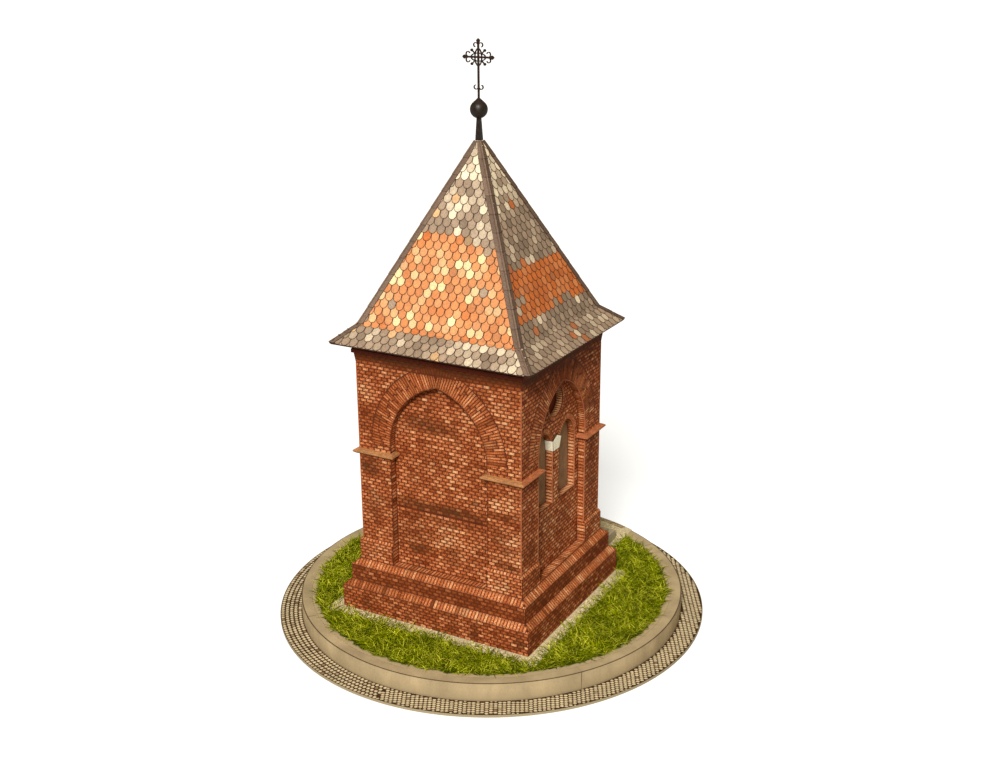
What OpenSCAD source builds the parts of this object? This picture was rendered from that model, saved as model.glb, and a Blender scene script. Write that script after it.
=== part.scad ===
// A small brick wayside chapel as a 1:72 card model, on its own round card base.
// Millimetres, +Z up. The origin is the middle of the base's underside.
// The blind niche faces -Y, the entrance +Y, and the two window sides face +X and -X.

/* [Round base] */
// Radius of the printed paving disc
paving_r = 71.6; // [68:0.2:80]
// Thickness of the paving disc
paving_t = 0.8; // [0.5:0.1:1.5]
// Radius of the raised kerb
kerb_r = 64.3; // [62:0.1:67]
// Width of the kerbstones
kerb_w = 3.6; // [3:0.1:6]
// Height of the kerb above the paving
kerb_h = 5.9; // [3:0.1:8]
// Thickness of the lawn card
lawn_t = 1.2; // [0.6:0.1:2]
// How far the chapel stands from the middle of the base, away from its entrance
chapel_shift = 5.5; // [0:0.5:8]

/* [Walls] */
// Width of the blind side and of the entrance side
wall_w = 58; // [52:1:62]
// Width of the two window sides
wall_d = 55; // [50:1:60]
// Thickness of one wall layer
layer_t = 2.5; // [1.5:0.1:3.5]
// Height of the brick walls above the lawn, up to the cornice board
wall_h = 87; // [84:0.5:90]
// Half width of the wide niches
niche_w = 17.2; // [14:0.1:18]
// Half width of the window niches
window_niche_w = 16.4; // [14:0.1:17]
// Height where every niche arch starts
spring_z = 58; // [56:0.2:60]
// How far the centres of the niche and door arches stand past the middle, which makes them pointed
arch_point = 5; // [3:0.1:6]

/* [Plinth] */
// How far the lower plinth stands out from the walls
low_plinth_out = 5.2; // [4:0.1:7]
// Height of the lower plinth's upright face
low_plinth_h = 7.9; // [6:0.1:10]
// How far the upper plinth stands out from the walls
up_plinth_out = 3; // [2:0.1:4]
// Heights where the upper plinth's upright face starts and ends
up_plinth_z = [10, 14.9]; // [9:0.1:16]
// Height of the foot of the walls
wall_foot = 16.9; // [15:0.1:19]

/* [Windows and door] */
// Half width of one lancet
lancet_w = 5.95; // [4:0.05:6.5]
// Distance of a lancet's middle from the middle of the window
lancet_x = 7.9; // [7:0.1:9]
// Height of the window sill
sill_z = 37.6; // [34:0.2:42]
// Height where a lancet's arch starts
lancet_spring = 55.5; // [52:0.1:58]
// How far the centres of a lancet's arch stand past its middle
lancet_point = 2; // [1:0.1:3]
// Radius of the round light
oculus_r = 4.8; // [3:0.1:5.5]
// Height of the round light's middle
oculus_z = 71.4; // [70:0.1:72]
// Half width of the doorway
door_w = 8; // [6:0.1:10]
// Height where the doorway's arch starts
door_spring = 45; // [38:0.5:50]

/* [Roof] */
// How far the eaves stand out from the walls
eaves_out = 5.6; // [4:0.1:7]
// Height of the eaves
eaves_z = 90.6; // [89:0.1:93]
// How far the roof's break stands inside the walls
break_in = 1; // [0.2:0.1:3]
// Height of the break between the skirt and the main slopes
break_z = 96; // [94:0.1:99]
// Height of the roof's top, where the finial stands
top_z = 150; // [130:1:160]
// Half width of the roof's top and of the finial's foot
top_w = 0.9; // [0.6:0.1:1.5]
// Thickness of the roof card, measured level
roof_t = 0.45; // [0.3:0.05:1.2]
// Reach of a hip cap to each side of its hip
hip_w = 1.7; // [1:0.1:3]

/* [Finial] */
// Radius of the ball
ball_r = 2.7; // [2:0.1:4]
// Height of the ball's middle
ball_z = 159.4; // [156:0.1:162]
// Height of the cross's middle
cross_z = 174.5; // [170:0.1:178]
// Reach of the cross's arms
arm = 5.4; // [4:0.1:6]
// Thickness of the cut-out cross
cross_t = 0.45; // [0.3:0.05:0.8]

/* [Hidden] */

ground = paving_t + kerb_h;      // the lawn's level, from which all other heights count
half_w = wall_w / 2;
half_d = wall_d / 2;
up_plinth_low = up_plinth_z[0];
up_plinth_top = up_plinth_z[1];
socle_out = 0.8;
socle_top = [23.3, 24.2];        // outer and inner edge of a socle's weathered top
string_out = 1.65;
string_z = [53.3, 54.2, 54.6, 55.4];
cove_z = 83.7;
cove_out = 0.45;
fascia_out = 1.0;
fascia_t = 1.2;
seat_out = 0.6;                  // block inside the eaves that the roof's skirt rests on
seat_z = 93.7;
backing_t = 0.6;
door_gap = 0.05;
apron_out = 4.2;                 // gravel strip round the plinth
apron_t = 0.3;
path_w = 26.5;                   // half width of the path
mullion_w = lancet_x - lancet_w;  // half width of the brick mullion
capital_z = [55.3, 59.2];        // heights of its foot and its shoulders
capital_peak = 60.6;
capital_w = [2.07, 2.96];        // half widths at its foot and its shoulders
capital_outline = [[-capital_w[0], capital_z[0]], [-capital_w[1], capital_z[1]], [0, capital_peak],
                   [capital_w[1], capital_z[1]], [capital_w[0], capital_z[0]]];
mullion_proud = 0.3;             // how far the mullion and the capital's foot stand in front of the panel
capital_proud = 0.6;             // the same for the capital's head
step_rise = wall_foot / 5;
step_run = 6.5;
step_w = 24;                     // half width of the steps
step_far = half_d + 27.5;        // the first step's front, from the chapel's middle
path_start = half_d + low_plinth_out - chapel_shift;
hip_t = 0.5;
neck_w = 0.55;
stem_foot = ball_z + 1.2 * ball_r;
stem_w = 0.28;                   // half width of the cross's stem and arms
notch = 0.03;
fine = 64;

// Distance from the middle to a side's outer wall face: even sides face -Y and +Y.
function face_at(side) = side % 2 == 0 ? half_d : half_w;
function half_run(side) = side % 2 == 0 ? half_w : half_d;

// Moves to the chapel's own middle, at the lawn's level.
module on_base() { translate([0, -chapel_shift, ground]) children(); }

// Turns a flat shape (along the wall, up) into a sheet whose outer face lies `inset` behind the wall face.
module sheet(side, inset, thickness)
    rotate([0, 0, 90 * side])
        translate([0, -face_at(side) + inset + thickness, 0])
            rotate([90, 0, 0]) linear_extrude(thickness) children();

// A pointed-arch opening: straight jambs up to the spring line, then two arcs about centres past the middle.
module pointed(half, foot, spring, point) {
    translate([-half, foot]) square([2 * half, spring - foot]);
    intersection() {
        translate([point, spring]) circle(r = half + point, $fn = 96);
        translate([-point, spring]) circle(r = half + point, $fn = 96);
        translate([-half, spring - 0.01]) square([2 * half, 3 * half]);
    }
}

// The convex solid round a list of points.
module convex(points)
    hull() polyhedron(points, [for (i = [0 : len(points) - 3]) [i, i + 1, i + 2]]);

// A block with upright sides and a level foot, which slopes in to a smaller top.
module weathered(out_low, out_top, foot, shoulder, top) {
    translate([-half_w - out_low, -half_d - out_low, foot])
        cube([wall_w + 2 * out_low, wall_d + 2 * out_low, shoulder - foot]);
    convex([for (s = [-1, 1], t = [-1, 1])
                each [[s * (half_w + out_low), t * (half_d + out_low), shoulder],
                      [s * (half_w + out_top), t * (half_d + out_top), top]]]);
}

/* ---------- round base ---------- */
module paving_disc()
    color("BurlyWood") cylinder(r = paving_r, h = paving_t, $fn = 180);

module kerb_ring()
    color("Wheat") translate([0, 0, paving_t]) difference() {
        cylinder(r = kerb_r, h = kerb_h, $fn = 180);
        translate([0, 0, -1]) cylinder(r = kerb_r - kerb_w, h = kerb_h + 2, $fn = 180);
    }

module lawn()
    color("OliveDrab") translate([0, 0, ground - lawn_t])
        cylinder(r = kerb_r - kerb_w, h = lawn_t, $fn = 180);

module gravel_apron()
    color("Tan") on_base() difference() {
        translate([-half_w - low_plinth_out - apron_out, -half_d - low_plinth_out - apron_out, 0])
            cube([wall_w + 2 * (low_plinth_out + apron_out), wall_d + 2 * low_plinth_out + apron_out, apron_t]);
        stair_gap();
    }

module entrance_path()
    color("Tan") translate([0, 0, ground]) linear_extrude(apron_t) difference() {
        intersection() {
            circle(r = kerb_r, $fn = 180);
            translate([-path_w, path_start]) square([2 * path_w, kerb_r]);
        }
        translate([-step_w, 0]) square([2 * step_w, step_far - chapel_shift]);
    }

// Each step is one slab that reaches back under the next one, as far as the wall.
module step(number)
    color("DarkGray") on_base()
        translate([-step_w, half_d, (number - 1) * step_rise])
            cube([2 * step_w, step_far - half_d - (number - 1) * step_run, step_rise]);

/* ---------- plinth ---------- */
// The space that the steps take out of the plinth.
module stair_gap()
    translate([-step_w, half_d, -1]) cube([2 * step_w, 2 * low_plinth_out, wall_foot + 2]);

module lower_plinth()
    color("Sienna") on_base() difference() {
        weathered(low_plinth_out, up_plinth_out, apron_t, low_plinth_h, up_plinth_low);
        stair_gap();
    }

module upper_plinth()
    color("Sienna") on_base() difference() {
        weathered(up_plinth_out, socle_out, up_plinth_low, up_plinth_top, wall_foot);
        stair_gap();
    }

module door_sill()
    color("DarkGray") on_base() translate([-step_w, half_d, 4 * step_rise])
        cube([2 * step_w, 2.2, step_rise]);

// Block in plan from the niche's edge to a corner, grown by `out` on its two outer faces and `back` on its others.
function pier_ring(out, back, z) =
    [[niche_w - back, -half_d - out, z], [half_w + out, -half_d - out, z],
     [half_w + out, -window_niche_w + back, z], [niche_w - back, -window_niche_w + back, z]];

// Leaves only what stands outside the walls and the recessed panels at the corner towards +X and -Y.
module outside_the_corner() {
    difference() {
        children();
        translate([niche_w, -half_d, 0]) cube([half_w - niche_w, half_d - window_niche_w, wall_h]);
        translate([-half_w, -half_d + layer_t, 0]) cube([wall_w - layer_t, wall_d, wall_h]);
    }
}

// Repeats a piece of the corner towards +X and -Y at all four corners.
module at_corners()
    for (x = [0, 1], y = [0, 1]) mirror([x, 0, 0]) mirror([0, y, 0]) children();

module pier_socles()
    color("Sienna") on_base() at_corners() outside_the_corner()
        convex(concat(pier_ring(socle_out, 0, wall_foot), pier_ring(socle_out, 0, socle_top[0]),
                      pier_ring(0, 0, socle_top[1])));

module string_course()
    color("Peru") on_base() at_corners() outside_the_corner()
        convex(concat(pier_ring(0, 0, string_z[0]), pier_ring(string_out, string_out, string_z[1]),
                      pier_ring(string_out, string_out, string_z[2]), pier_ring(0, 0, string_z[3])));

/* ---------- walls ---------- */
// Outer layer of one side, with its niche and the cove that carries the cornice board.
module wall_layer(side, niche_half) {
    run = side % 2 == 0 ? half_run(side) : half_run(side) - layer_t;
    sheet(side, 0, layer_t) difference() {
        translate([-run, wall_foot]) square([2 * run, wall_h - wall_foot]);
        pointed(niche_half, wall_foot - 1, spring_z, arch_point);
    }
    rotate([0, 0, 90 * side])
        convex([for (s = [-1, 1])
                    each [[s * half_run(side), -face_at(side), cove_z],
                          [s * half_run(side), -face_at(side), wall_h],
                          [s * (half_run(side) + cove_out), -face_at(side) - cove_out, wall_h]]]);
}

// Second layer of one side, which closes the niche.
module panel(side) {
    run = half_run(side) - (side % 2 == 0 ? layer_t : 2 * layer_t);
    sheet(side, layer_t, layer_t) difference() {
        translate([-run, wall_foot]) square([2 * run, wall_h - wall_foot]);
        children();
    }
}

module window_lights() {
    for (s = [-1, 1]) translate([s * lancet_x, 0]) pointed(lancet_w, sill_z, lancet_spring, lancet_point);
    translate([0, oculus_z]) circle(r = oculus_r, $fn = 96);
    translate([-mullion_w - 0.01, sill_z]) square([2 * mullion_w + 0.02, capital_z[1] - sill_z - 0.01]);
    polygon(capital_outline);
}

module blind_wall() color("Chocolate") on_base() wall_layer(0, niche_w);
module right_window_wall() color("Chocolate") on_base() wall_layer(1, window_niche_w);
module entrance_wall() color("Chocolate") on_base() wall_layer(2, niche_w);
module left_window_wall() color("Chocolate") on_base() wall_layer(3, window_niche_w);

module blind_panel() color("Brown") on_base() panel(0);
module right_window_panel() color("Brown") on_base() panel(1) window_lights();
module left_window_panel() color("Brown") on_base() panel(3) window_lights();
module doorway_panel()
    color("Brown") on_base() panel(2) pointed(door_w, wall_foot - 1, door_spring, arch_point);

// Square brick pier between the two lancets.
module mullion(side)
    color("Chocolate") on_base() sheet(side, layer_t - mullion_proud, layer_t + mullion_proud)
        translate([-mullion_w, sill_z]) square([2 * mullion_w, capital_z[0] - sill_z]);

// Pale block on the mullion, which widens towards the two arches that it carries and ends in a small gable.
module capital(side)
    color("Beige") on_base() rotate([0, 0, 90 * side])
        convex([for (point = capital_outline, y = [point.y > capital_z[0] ? -capital_proud : -mullion_proud, layer_t])
                    [point.x, -face_at(side) + layer_t + y, point.y]]);

module backing(side)
    color("DimGray") on_base() sheet(side, 2 * layer_t, backing_t)
        translate([-window_niche_w, sill_z - 4]) square([2 * window_niche_w, oculus_z - sill_z + 12]);

module entrance_door()
    color("SaddleBrown") on_base() sheet(2, layer_t + 1, 1)
        pointed(door_w - door_gap, wall_foot, door_spring, arch_point);

module door_backing()
    color("DimGray") on_base() sheet(2, 2 * layer_t, backing_t)
        translate([-niche_w, wall_foot]) square([2 * niche_w, spring_z - wall_foot]);

/* ---------- cornice and roof ---------- */
module cornice_board() {
    color("Maroon") on_base() {
        translate([-half_w - fascia_out, -half_d - fascia_out, wall_h])
            cube([wall_w + 2 * fascia_out, wall_d + 2 * fascia_out, fascia_t]);
        translate([-half_w - seat_out, -half_d - seat_out, wall_h])
            cube([wall_w + 2 * seat_out, wall_d + 2 * seat_out, seat_z - wall_h]);
    }
}

// Roof outline at one level: how far it stands outside the walls, or inside them where negative, and its height.
eaves = [eaves_out, eaves_z];
crease = [-break_in, break_z];
eaves_under = [eaves_out - 0.35, eaves_z - roof_t];
crease_under = [-break_in - 0.7, break_z - roof_t];

// A corner of the roof at one level, at the end s of a side.
function roof_corner(side, level, s) =
    [s * (half_run(side) + level[0]), -face_at(side) - level[0], level[1]];
function roof_top(s, inset) = [s * (top_w - inset), -(top_w - inset), top_z];

// One side of the roof: a flared skirt and a steep slope, folded from one sheet.
module roof_side(side)
    on_base() rotate([0, 0, 90 * side]) {
        convex([for (s = [-1, 1], level = [eaves, crease, eaves_under, crease_under])
                    roof_corner(side, level, s)]);
        convex([for (s = [-1, 1])
                    each [roof_corner(side, crease, s), roof_corner(side, crease_under, s),
                          roof_top(s, 0), roof_top(s, 0.5)]]);
    }

module blind_roof() color("Peru") roof_side(0);
module right_roof() color("Peru") roof_side(1);
module entrance_roof() color("Peru") roof_side(2);
module left_roof() color("Peru") roof_side(3);

function unit(v) = v / norm(v);
function hip_point(corner, level) =
    [corner[0] * (half_w + level[0]), corner[1] * (half_d + level[0]), level[1]];

// Folded strip over one stretch of a hip: its two wings lie on the two slopes.
module hip_strip(corner, from, to) {
    raise = hip_t * unit([corner[0], corner[1], 1]);
    lift = [0, 0, 0.3];
    for (along = [[-corner[0], 0, 0], [0, -corner[1], 0]]) {
        wing_low = from + hip_w * along;
        wing_high = to + min(hip_w, 0.75 * abs(to[0])) * along;
        convex([from, to, from + raise, to + raise, wing_low, wing_high, wing_low + lift, wing_high + lift]);
    }
}

module hip_cap(corner)
    color("Gray") on_base() {
        foot = hip_point(corner, eaves);
        knee = hip_point(corner, crease);
        head = [corner[0] * top_w, corner[1] * top_w, top_z];
        hip_strip(corner, foot, knee);
        hip_strip(corner, knee, head);
    }

/* ---------- finial ---------- */
module finial_neck()
    color("DarkSlateGray") on_base()
        convex([for (x = [-1, 1], y = [-1, 1])
                    each [[x * top_w, y * top_w, top_z], [x * neck_w, y * neck_w, ball_z - 0.93 * ball_r]]]);

module finial_ball()
    color("Black") on_base() {
        translate([0, 0, ball_z]) sphere(r = ball_r, $fn = fine);
        translate([0, 0, ball_z + 0.75 * ball_r])
            cylinder(r1 = 0.66 * ball_r, r2 = 1.6 * stem_w, h = 0.45 * ball_r, $fn = fine);
    }

// Curved bar of width w about the origin, on an ellipse with half axes a and b, from one angle to another.
module bar_arc(a, b, w, from, to, parts = 20) {
    angles = [for (i = [0 : parts]) from + (to - from) * i / parts];
    polygon(concat([for (t = angles) [(a + w / 2) * cos(t), (b + w / 2) * sin(t)]],
                   [for (i = [parts : -1 : 0]) [(a - w / 2) * cos(angles[i]), (b - w / 2) * sin(angles[i])]]));
}

// Closed elliptical ring of bar width w.
module ring(a, b, w) {
    bar_arc(a, b, w, 0, 180);
    bar_arc(a, b, w, 180, 360);
}

// Pair of curls beside the stem: `lean` 1 hangs them from their top, and -1 stands them on their foot.
module curl_pair(height, lean)
    for (x = [0, 1]) mirror([x, 0]) translate([0.85, height])
        bar_arc(0.68, 0.62, 0.26, lean * 165, -lean * 75);

// One of the cross's upper three arms, pointing up: its bar, its bud and its curls.
module cross_arm() {
    translate([-stem_w, 0]) square([2 * stem_w, 0.85 * arm]);
    translate([0, 0.84 * arm]) polygon([[-stem_w, -0.4], [-0.62, 0.1], [-0.45, 0.5], [0, 0.16 * arm],
                                        [0.45, 0.5], [0.62, 0.1], [stem_w, -0.4]]);
    curl_pair(0.65 * arm, 1);
}

// The whole cross as one flat outline about its middle.
module cross_outline() {
    for (turn = [-90, 0, 90]) rotate(turn) cross_arm();
    ring(1.15, 2.45, 0.3);
    ring(2.45, 1.15, 0.3);
    for (turn = [42, 138, 222, 318]) rotate(turn) {
        translate([1.2, -0.15]) square([1.6, 0.3]);
        translate([2.95, 0]) circle(r = 0.42, $fn = 16);
    }
    translate([-stem_w, stem_foot - cross_z]) square([2 * stem_w, cross_z - stem_foot]);
    translate([0, -8.65]) curl_pair(0, -1);
}

// The blade can't follow a notch narrower than twice `notch`, so the cut closes it.
module cross()
    color("SaddleBrown") on_base() translate([0, cross_t / 2, cross_z]) rotate([90, 0, 0])
        linear_extrude(cross_t) offset(delta = -notch) offset(delta = notch) cross_outline();

paving_disc();
kerb_ring();
lawn();
gravel_apron();
entrance_path();
step(1);  // step_1
step(2);  // step_2
step(3);  // step_3
step(4);  // step_4
lower_plinth();
upper_plinth();
door_sill();
pier_socles();
blind_wall();
right_window_wall();
entrance_wall();
left_window_wall();
blind_panel();
right_window_panel();
doorway_panel();
left_window_panel();
mullion(1);  // right_mullion
mullion(3);  // left_mullion
capital(1);  // right_capital
capital(3);  // left_capital
backing(1);  // right_window_backing
backing(3);  // left_window_backing
entrance_door();
door_backing();
string_course();
cornice_board();
blind_roof();
right_roof();
entrance_roof();
left_roof();
hip_cap([1, -1]);  // hip_cap_blind_right
hip_cap([1, 1]);  // hip_cap_entrance_right
hip_cap([-1, 1]);  // hip_cap_entrance_left
hip_cap([-1, -1]);  // hip_cap_blind_left
finial_neck();
finial_ball();
cross();
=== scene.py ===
"""Dresses a small card model of a brick wayside chapel over its CAD frame.

Every printed brick, roof tile and sett of the model becomes a thin laid piece, so the pattern of
each card sheet is real geometry. Lengths are millimetres until a mesh is made, where `MM` turns them
into metres; only the stage and the sizes that a user may change are in metres.
"""

import math
import random
from types import SimpleNamespace

import bmesh
import bpy
from mathutils import Matrix, Vector, noise


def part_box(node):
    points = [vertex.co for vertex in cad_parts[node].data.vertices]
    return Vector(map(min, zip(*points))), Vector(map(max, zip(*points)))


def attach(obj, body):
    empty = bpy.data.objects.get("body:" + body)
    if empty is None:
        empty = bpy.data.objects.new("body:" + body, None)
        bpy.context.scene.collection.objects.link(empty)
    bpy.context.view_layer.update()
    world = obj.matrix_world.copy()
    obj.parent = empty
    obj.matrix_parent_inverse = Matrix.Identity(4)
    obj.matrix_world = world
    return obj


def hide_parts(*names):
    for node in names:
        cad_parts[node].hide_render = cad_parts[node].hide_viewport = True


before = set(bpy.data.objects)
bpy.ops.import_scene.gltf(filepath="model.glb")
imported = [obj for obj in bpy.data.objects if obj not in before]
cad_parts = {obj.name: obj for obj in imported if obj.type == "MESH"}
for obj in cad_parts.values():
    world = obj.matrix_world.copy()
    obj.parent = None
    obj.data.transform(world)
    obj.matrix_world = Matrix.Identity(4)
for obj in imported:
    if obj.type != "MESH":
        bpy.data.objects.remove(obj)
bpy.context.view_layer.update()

bl_info = {
    "name": "Brick Wayside Chapel",
    "version": (1, 0, 0),
    "blender": (4, 5, 0),
    "location": "3D View > Sidebar > Chapel",
    "description": "Lays the bricks, tiles, setts and grass of a small card chapel",
    "category": "Add Mesh",
}

MM = 0.001
BODY = "root"


def corners(node):
    """Lowest and highest corner of a CAD node, in millimetres."""
    low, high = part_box(node)
    return low / MM, high / MM


# ---------- sizes that the frame gives ----------
# Heights are above the lawn, apart from the first two. _W is half a width, _T a thickness, _R a radius,
# _OUT how far something stands before the wall face, and _PROUD how far before the panel.
LAWN_TOP = corners("lawn")[1].z
DISC_TOP = corners("kerb_ring")[0].z


def heights(node):
    """Lowest and highest level of a CAD node above the lawn."""
    return tuple(corner.z - LAWN_TOP for corner in corners(node))


KERB_R = corners("kerb_ring")[1].x
LAWN_R = corners("lawn")[1].x
DISC_R = corners("paving_disc")[1].x
PANEL_LOW, PANEL_HIGH = corners("blind_panel")
LAYER = PANEL_HIGH.y - PANEL_LOW.y
HALF_W = PANEL_HIGH.x + LAYER
MIDDLE_Y = (PANEL_LOW.y + corners("doorway_panel")[1].y) / 2
HALF_D = MIDDLE_Y - PANEL_LOW.y + LAYER
WALL_FOOT, WALL_TOP = heights("blind_panel")
LOW_OUT = corners("lower_plinth")[1].x - HALF_W
UP_OUT = corners("upper_plinth")[1].x - HALF_W
UP_FOOT = heights("upper_plinth")[0]
SOCLE_OUT = corners("pier_socles")[1].x - HALF_W
SOCLE_TOP = heights("pier_socles")[1]
STRING_FOOT, STRING_TOP = heights("string_course")
EAVES_OUT = corners("right_roof")[1].x - HALF_W
ROOF_TOP = heights("blind_roof")[1]
MULLION_W = corners("right_mullion")[1].y - MIDDLE_Y
MULLION_PROUD = corners("right_mullion")[1].x - (HALF_W - LAYER)
CAPITAL_FOOT, CAPITAL_PEAK = heights("right_capital")
CAPITAL_W = corners("right_capital")[1].y - MIDDLE_Y
CAPITAL_PROUD = corners("right_capital")[1].x - (HALF_W - LAYER)
STEP_W = corners("step_1")[1].x
PATH_W = corners("entrance_path")[1].x
GRAVEL_T = heights("gravel_apron")[1]
APRON = corners("gravel_apron")
FASCIA_OUT = corners("cornice_board")[1].x - HALF_W

# ---------- sizes that the boxes can't give ----------
# _SPRING is the height where an arch starts, _POINT is how far its centres lie past its middle, and
# _SHOULDER is the height where a sloping face starts.
NICHE_W = (17.2, 16.4)  # on the blind and entrance sides, and on the window sides
NICHE_SPRING = 58.0
NICHE_POINT = 5.0
LOW_SHOULDER = 7.9
UP_SHOULDER = 14.9
SOCLE_SHOULDER = 23.3
# Cross-section of the string course: how far out and how high each corner is.
STRING_SECTION = ((-0.05, 53.3), (0.8, 53.6), (1.4, 54.05), (1.65, 54.35), (1.5, 54.7), (0.85, 55.1),
                  (-0.05, 55.4))
COVE_FOOT = 83.7
COVE_OUT = 0.45
FASCIA_T = 1.2          # how far the board under the eaves shows
EAVES_Z = 90.6
CREASE_IN = 1.0         # how far inside the wall face the roof's skirt turns into its steep slope
CREASE_Z = 96.0
TOP_W = 0.9
LANCET_W = 5.95
LANCET_X = 7.9
LANCET_SPRING = 55.5
LANCET_POINT = 2.0
SILL_Z = 37.6
OCULUS_R = 4.8
OCULUS_Z = 71.4
DOOR_W = 8.0
DOOR_SPRING = 45.0
RING_DEPTH = 7.0
DOOR_RING = 3.5         # these three are depths of brick rings: door, lancets and round lights
LIGHT_RING = 1.9
OCULUS_RING = 1.5
KEYSTONE_LIFT = 0.02    # the brick at an arch's point laps the bricks beside it
GROOVE = 36.8           # height of the groove across the blind panel
CAPITAL_FOOT_W = 2.07
CAPITAL_SHOULDER = 59.2
BACKING_SHADE_LEVEL = 66.0   # above it the backing turns dark: painted shade behind the round lights
HIP_W = 1.7
HIP_T = 0.42
HIP_FOLD_HIGHLIGHT = 0.74         # how pale the fold of a hip strip is: a painted highlight along its crest
TURF_R = 60.2
KERB_SHADE = -4.8       # height where the shading low on the kerb is at half strength
KERB_FADE = 2.6
BED = 0.05              # height of the joint-coloured bed under the bricks of a ring
TILE_T = 0.13
TILE_LIFT = 0.2         # how far a tile's tip lies off its slope, over the row below
SETT_LONG = 1.12        # length of a sett in the rings, as a share of its width
SETT_SHORT = 0.86       # length of a sett in the straight columns
SETT_FILL = 0.7         # size of the sett shape that fills its place up to the joints
GRID_TURN = -62.0       # direction of the straight columns, in degrees
SETT_SEAM = -90.0       # direction in which the rings and the columns meet
SEAM_GAP = 0.4          # how far past that line the columns start
RING_WEAR = 0.12        # how much darker the setts of the rings are
SETT_T = 0.09
PAVING_RIM = 0.15       # width of the plain edge outside the setts
FLECK = 0.36            # size of the flecks within a printed brick or sett
PAPER_BUMP = 0.04       # depth of the paper's grain
USUAL_FIRING = 0.55     # firing of a usual brick: 0 is burnt and 1 is pale
PALEST = 0.62           # firing of the palest tile; those above are orange
RUSTIEST = 0.66         # firing of the rustiest orange tile
NARROWEST_TILE = 0.45   # a tile cut narrower than this at a hip is left out
PLANKS = 9
PLANK_MARGIN = 0.2      # how far the planks stay inside the doorway
END_STONE = 9.0         # usual length of a stone in the ends of the steps
STRAP_HEIGHTS = (25.0, 42.0)
STEP_NODES = ("step_1", "step_2", "step_3", "step_4", "door_sill")
LOW_STEPS = 3           # how many of them meet the lower plinth's upright face


def srgb(red, green, blue):
    """A printed colour, written 0 to 255, as the linear colour that a material takes."""
    def linear(value):
        value = value / 255
        return value / 12.92 if value <= 0.04045 else ((value + 0.055) / 1.055) ** 2.4
    return linear(red), linear(green), linear(blue)


def swatch(label, text, colour):
    """A colour that a user may change."""
    return bpy.props.FloatVectorProperty(
        name=label, description=text, default=srgb(*colour), size=3, subtype="COLOR", min=0, max=1)


def measure(label, text, usual, low, high):
    """A length that a user may change, written in millimetres."""
    return bpy.props.FloatProperty(
        name=label, description=text, default=usual * MM, min=low * MM, max=high * MM,
        unit="LENGTH", subtype="DISTANCE", precision=5)


class ChapelSizes(bpy.types.PropertyGroup):
    """Sizes of the laid pieces."""

    brick_length: measure("Brick pitch", "Length of a brick with its joint", 2.33, 1.5, 4)
    course: measure("Course height", "Height of a brick with its joint", 1.15, 0.8, 2)
    joint: measure("Joint", "Width of the dark joints between bricks", 0.2, 0.05, 0.5)
    relief: measure("Relief", "How far a brick stands out of its card", 0.05, 0.02, 0.2)
    header: measure("Header pitch", "Width of a header on the sloping courses", 1.145, 0.8, 2)
    voussoir: measure("Arch brick pitch", "Width of an arch brick at the edge of its opening", 0.76, 0.5, 2)
    tile_width: measure("Tile width", "Distance between two tiles of a row", 2.88, 2, 4)
    tile_gauge: measure("Tile gauge", "Distance between two rows of tiles", 2.45, 1.5, 4)
    tile_round: measure("Tile rounding", "Depth of a tile's rounded end", 1.3, 0.3, 1.5)
    sett: measure("Sett", "Width of a sett with its joint", 1.3, 0.8, 2)
    blade: measure("Grass blade", "Length of a usual blade of grass", 2.3, 1, 4)


class ChapelColours(bpy.types.PropertyGroup):
    """Printed colours of the card."""

    brick_burnt: swatch("Burnt brick", "The darkest bricks", (112, 46, 16))
    brick_brown: swatch("Brown brick", "Dull brown bricks", (148, 72, 30))
    brick_red: swatch("Red brick", "The usual bricks", (184, 98, 52))
    brick_orange: swatch("Orange brick", "Bright bricks", (222, 134, 82))
    brick_salmon: swatch("Salmon brick", "The palest bricks", (248, 186, 132))
    # This soot colour also paints the shade under the eaves.
    brick_soot_and_shade: swatch("Soot", "Grey-brown weathering on brickwork", (86, 56, 26))
    brick_joint: swatch("Brick joint", "Mortar lines", (76, 28, 5))
    card_edge: swatch("Card edge", "Cut edges of the brick sheets", (170, 98, 62))
    tile_grey: swatch("Grey tile", "Weathered tiles", (165, 140, 116))
    tile_cream: swatch("Cream tile", "Palest tiles", (248, 228, 194))
    tile_orange: swatch("Orange tile", "Newer tiles", (226, 152, 98))
    tile_red: swatch("Red tile", "Burnt orange tiles", (208, 124, 70))
    tile_rust: swatch("Rust tile", "Deep orange tiles", (196, 102, 44))
    tile_gold: swatch("Gold tile", "Yellowest tiles", (250, 226, 170))
    tile_line: swatch("Tile outline", "Dark line round each tile", (58, 34, 20))
    hip: swatch("Hip strip", "Folded strips on the hips", (126, 103, 86))
    string_red: swatch("Window string course", "Moulded band on the window sides", (164, 94, 56))
    string: swatch("String course", "Moulded brick band", (158, 108, 66))
    # The cornice's dark colour is partly the board's print and partly painted shade under the eaves.
    cornice: swatch("Cornice", "Dark board under the eaves", (122, 44, 18))
    capital: swatch("Capital", "Pale block on the mullion", (246, 236, 208))
    backing: swatch("Backing", "Plain card behind the windows", (138, 106, 76))
    door: swatch("Door", "Planks", (96, 60, 34))
    iron: swatch("Iron", "Straps, neck, ball and ring", (28, 19, 13))
    cross: swatch("Cross", "Cut-out cross", (44, 24, 13))
    stone: swatch("Step stone", "Steps and door sill", (184, 168, 136))
    gravel: swatch("Gravel", "Path and strip round the plinth", (222, 202, 158))
    kerb: swatch("Kerb", "Raised kerb", (177, 155, 118))
    sett_pale: swatch("Pale sett", "Usual setts", (226, 204, 162))
    sett_dark: swatch("Dark sett", "Worn setts", (140, 110, 76))
    sett_joint: swatch("Sett joint", "Lines between setts", (56, 36, 16))
    grass_deep: swatch("Deep grass", "Shaded blades", (62, 74, 0))
    grass_mid: swatch("Grass", "Usual blades", (146, 152, 0))
    grass_tip: swatch("Grass tips", "Pale blades", (222, 216, 70))


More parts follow.
